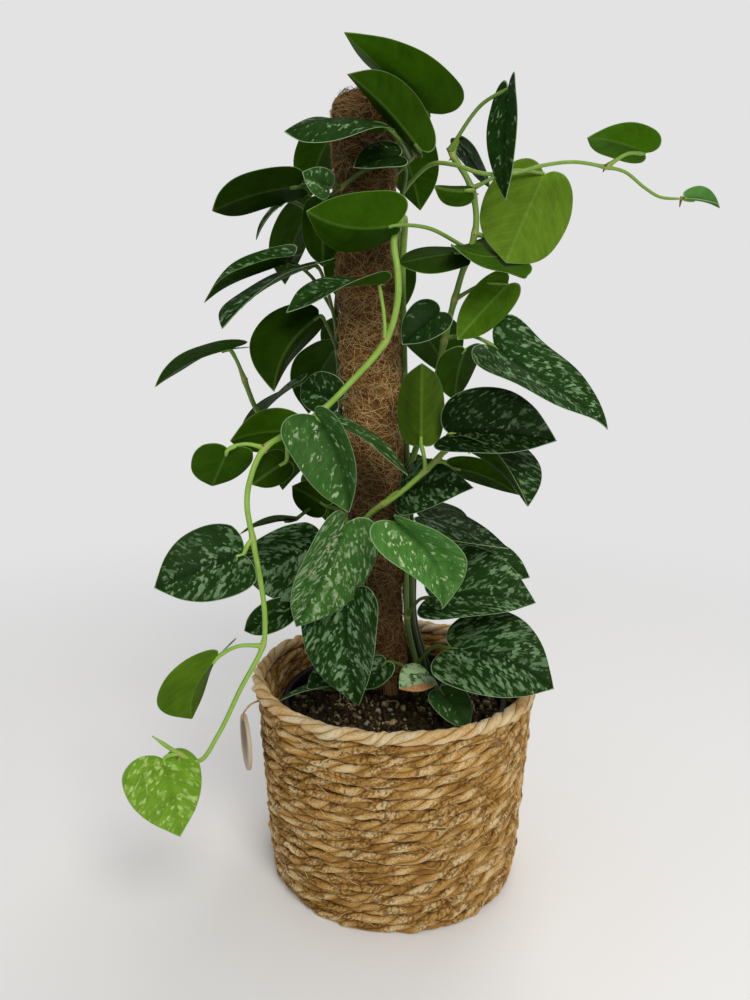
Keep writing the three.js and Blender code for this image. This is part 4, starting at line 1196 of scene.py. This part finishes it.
# The lower left vine
vine("low_left_vine", climb(-167, 345), [
    sprout((352, 535, -18), (346, 523, -74), (296, 627, -80), -46, 16, 0.87, arch=0.03, silver=0.75,
           young=0.65),
    sprout((352, 610, -18), (347, 598, -60), (359, 706, -84), 39, 15, 0.97, belly=-0.4, silver=0.8),
    sprout((352, 560, -18), (321, 542, -54), (239, 571, -46), -19, 35, 1.02, lobe=0.6, silver=1.0,
           deep=0.4),
    sprout((352, 620, -18), (291, 608, -66), (244, 631, -64), 4, 32, 0.68, lobe=0.7, silver=0.7, deep=0.4),
    sprout((352, 515, -18), (292, 520, -62), (240, 534, -78), 96, 6, 0.8),
    sprout((352, 500, -18), (326, 506, -44), (292, 486, -52), 170, 8, 0.9, deep=0.5),
    sprout((352, 690, -18), (330, 688, -44), (278, 702, -56), 84, 6, 0.7, silver=0.7),
    sprout((352, 690, -18), (338, 670, -40), (307, 689, -50), 30, 8, 0.8, silver=0.8, deep=0.3),
], bright=0.3)

# The left-hand vine, which leaves the pole and turns up
vine("left_vine", climb(177, 375) + grow(
    (300, 443, -8), (275, 430, -16), (258, 412, -23), (247, 387, -28), (240, 366, -28),
), [
    sprout((244, 378, -28), (229, 349, -28), (155, 387, -38), 104, 10, 0.72, lobe=2.3, silver=0),
    sprout((318, 445, -6), (293, 431, -36), (230, 441, -66), 139, 4, 0.77, young=0.4),
    sprout((306, 444, -7), (338, 401, -34), (301, 385, -16), 8, 19, 0.95, by=at(318, 418, -16), deep=0.4),
], bright=0.6)

# The vine up the pole's left side
vine("upper_left_vine", climb(160, 500), [
    sprout((336, 352, 4), (319, 316, -52), (274, 392, -102), 151, 48, 0.77, by=at(328, 328, -30),
           sweep=0.07, belly=0.13, deep=0.8),
    sprout((336, 330, 4), (314, 265, -54), (222, 329, -100), 81, 6, 0.71, arch=0.06, sweep=-0.09,
           lean=-0.25, belly=0.2),
    sprout((336, 318, 4), (288, 261, -34), (204, 303, -44), 69, 26, 0.64, twist=26, arch=0.07, sweep=0.15,
           lobe=1.7),
], bright=0.2)

# The vine that crosses the pole's front under its top
vine("crossing_vine", climb(20, 560) + grow(
    (404, 166, -22), (386, 165, -28), (365, 170, -28), (341, 188, -26), (322, 205, -18), (314, 226, -12),
), [
    sprout((330, 197, -22), (298, 186, -42), (212, 211, -48), 129, 6, 0.7, arch=0.06, belly=0.4, deep=0.7),
    sprout((316, 218, -14), (285, 200, -16), (256, 240, -12), 80, 6, 0.7),
    sprout((341, 188, -26), (329, 188, -44), (302, 172, -56), 10, 12, 0.9, small=True, young=0.4),
    sprout((322, 205, -18), (324, 197, -30), (323, 267, -40), 176, 45, 0.84, lobe=0.5, deep=0.5),
    sprout((394, 165, -27), (400, 156, -33), (353, 168, -40), 50, 10, 0.85, deep=0.9, silver=0.3),
], bright=0.2, thick=(2.2, 1.6))

# The far side
for name, angle, low, high, step, top, seed in [
    ("back_right_vine", 80, 275, 600, 80, 600, 3908), ("back_vine", 100, 320, 630, 90, 630, 6418),
    ("back_left_vine", 120, 269, 590, 84, 590, 6896), ("back_low_vine", 140, 305, 430, 84, 430, 8046),
]:
    vine(name, climb(angle, top), far_leaves(angle, low, high, step, seed), bright=0.3)

# What the plant stands in
piece("basket_cords", cord_rows(), [CORD], "seagrass", "basket_wall")
piece("basket_base", cord_base(), [CORD], "seagrass", "basket_wall")
piece("basket_rim_cord", rim_cord(), [RIM_CORD], "rim_cord", "basket_rim")
pot = piece("pot_shell", nursery_pot(), [black_plastic()], "pot_plastic", "nursery_pot")
piece("soil_bed", [soil_body(), crumbs(2400, 17), *twigs(26, 6)], [potting_soil()], "soil", "soil")
stake_path = by_pole(0, 0, np.linspace(STAKE.foot, STAKE.top, 12))
piece("stake_rod", [tube(stake_path, STAKE.radius, 32)],
      [wood("stake_wood", 0x5A3E22, 0x9A784A, 0x9A784A)], "stake", "pole_stake")
piece("coir_mat", [sleeve(), coir_top(620, 33)], [COIR], "coir", "coir_sleeve")
for name, seed, low, high in [
    ("coir_fibres_low", 31, POLE.coir_foot - 3, 430), ("coir_fibres_high", 32, 420, POLE.top - 12),
]:
    piece(name, [coir_strands(4350, seed, low, high)], [COIR], "coir", "coir_sleeve")
piece("tag_disc", [round_tag(), tag_twine()], [
    wood("tag_wood", 0x5E5142, 0x94836C, 0xCDBFA6), wood("tag_twine", 0x9A7A48, 0xC8A870, 0xC8A870),
], "tag", "round_tag")

# The pot's drain holes
cutter = piece("drain_cutter", [
    tube(around(angle, DRAINS.ring, np.array([5, 8, 11, 14])), DRAINS.radius, 24)
    for angle in circle(DRAINS.count)[:-1]
], [], "pot_plastic")
drill = pot.modifiers.new("drains", "BOOLEAN")
drill.object = cutter
drill.operation = "DIFFERENCE"
drill.solver = "EXACT"
bpy.context.view_layer.update()
drilled = bpy.data.meshes.new_from_object(pot.evaluated_get(bpy.context.evaluated_depsgraph_get()))
pot.modifiers.clear()
pot.data = drilled
bpy.data.objects.remove(cutter)

FLOOR = Sizes(radius=40, sides=64, fade_from=330, fade_to=1300)
ROOM = tone(0xE3E3E3)
WARM = tone(0xFFF8EE)
LIGHT_OF_ROOM, GLOSS_OF_ROOM = 0.62, 0.3
PLANT_MIDDLE = np.array([0, 0, 0.35])


def floor_finish():
    """Pale matt floor that fades into the pale room far from the plant."""
    f = Finish("floor_paint", 0.1)
    f.shader.inputs["Base Color"].default_value = tone(0xEEF0F3)
    f.shader.inputs["Roughness"].default_value = 0.9
    away = f.node("ShaderNodeVectorMath", {"operation": "LENGTH"}, {0: f.place()}, out="Value")
    glow = f.node("ShaderNodeEmission", {}, {"Color": ROOM})
    far = away.rise(FLOOR.fade_from, FLOOR.fade_to)
    sockets = {0: far, 1: Value(f, f.shader.outputs[0]), 2: glow}
    blended = f.node("ShaderNodeMixShader", {}, sockets)
    f.tree.links.new(blended.socket, f.tree.nodes["Material Output"].inputs["Surface"])
    return f.material


floor_mesh = bpy.data.meshes.new("floor")
corners = around(circle(FLOOR.sides)[:-1], FLOOR.radius, 0)
floor_mesh.from_pydata(corners, [], [tuple(range(FLOOR.sides))])
floor_mesh.materials.append(floor_finish())
floor = put("floor", floor_mesh)

# The room: pale to look at, dimmer as a light on the plant, and dim in its gloss
world = bpy.context.scene.world or bpy.data.worlds.new("room")
bpy.context.scene.world = world
room = Nodes(world)
seen = room.node("ShaderNodeLightPath", out="Is Camera Ray")
mirrored = room.node("ShaderNodeLightPath", out="Is Glossy Ray")
strength = LIGHT_OF_ROOM + (1 - LIGHT_OF_ROOM) * seen
strength = strength * (1 - (1 - GLOSS_OF_ROOM) * mirrored)
backdrop = room.tree.nodes["Background"]
backdrop.inputs["Color"].default_value = ROOM
room.tree.links.new(strength.socket, backdrop.inputs["Strength"])


def lamp(name, place, size, power):
    """A warm, square, soft light that faces the middle of the plant."""
    light = bpy.data.lights.new(name, "AREA")
    light.size = size
    light.energy = power
    light.color = WARM[:3]
    made = put(name, light)
    made.location = place
    way = PLANT_MIDDLE - place
    tilt = math.atan2(math.hypot(way[0], way[1]), -way[2])
    made.rotation_euler = (tilt, 0, math.atan2(way[0], -way[1]) + math.pi)


lamp("key", (0.45, -1.5, 1.55), size=0.8, power=23)
lamp("back", (0.5, 0.8, 2.0), size=0.9, power=10)
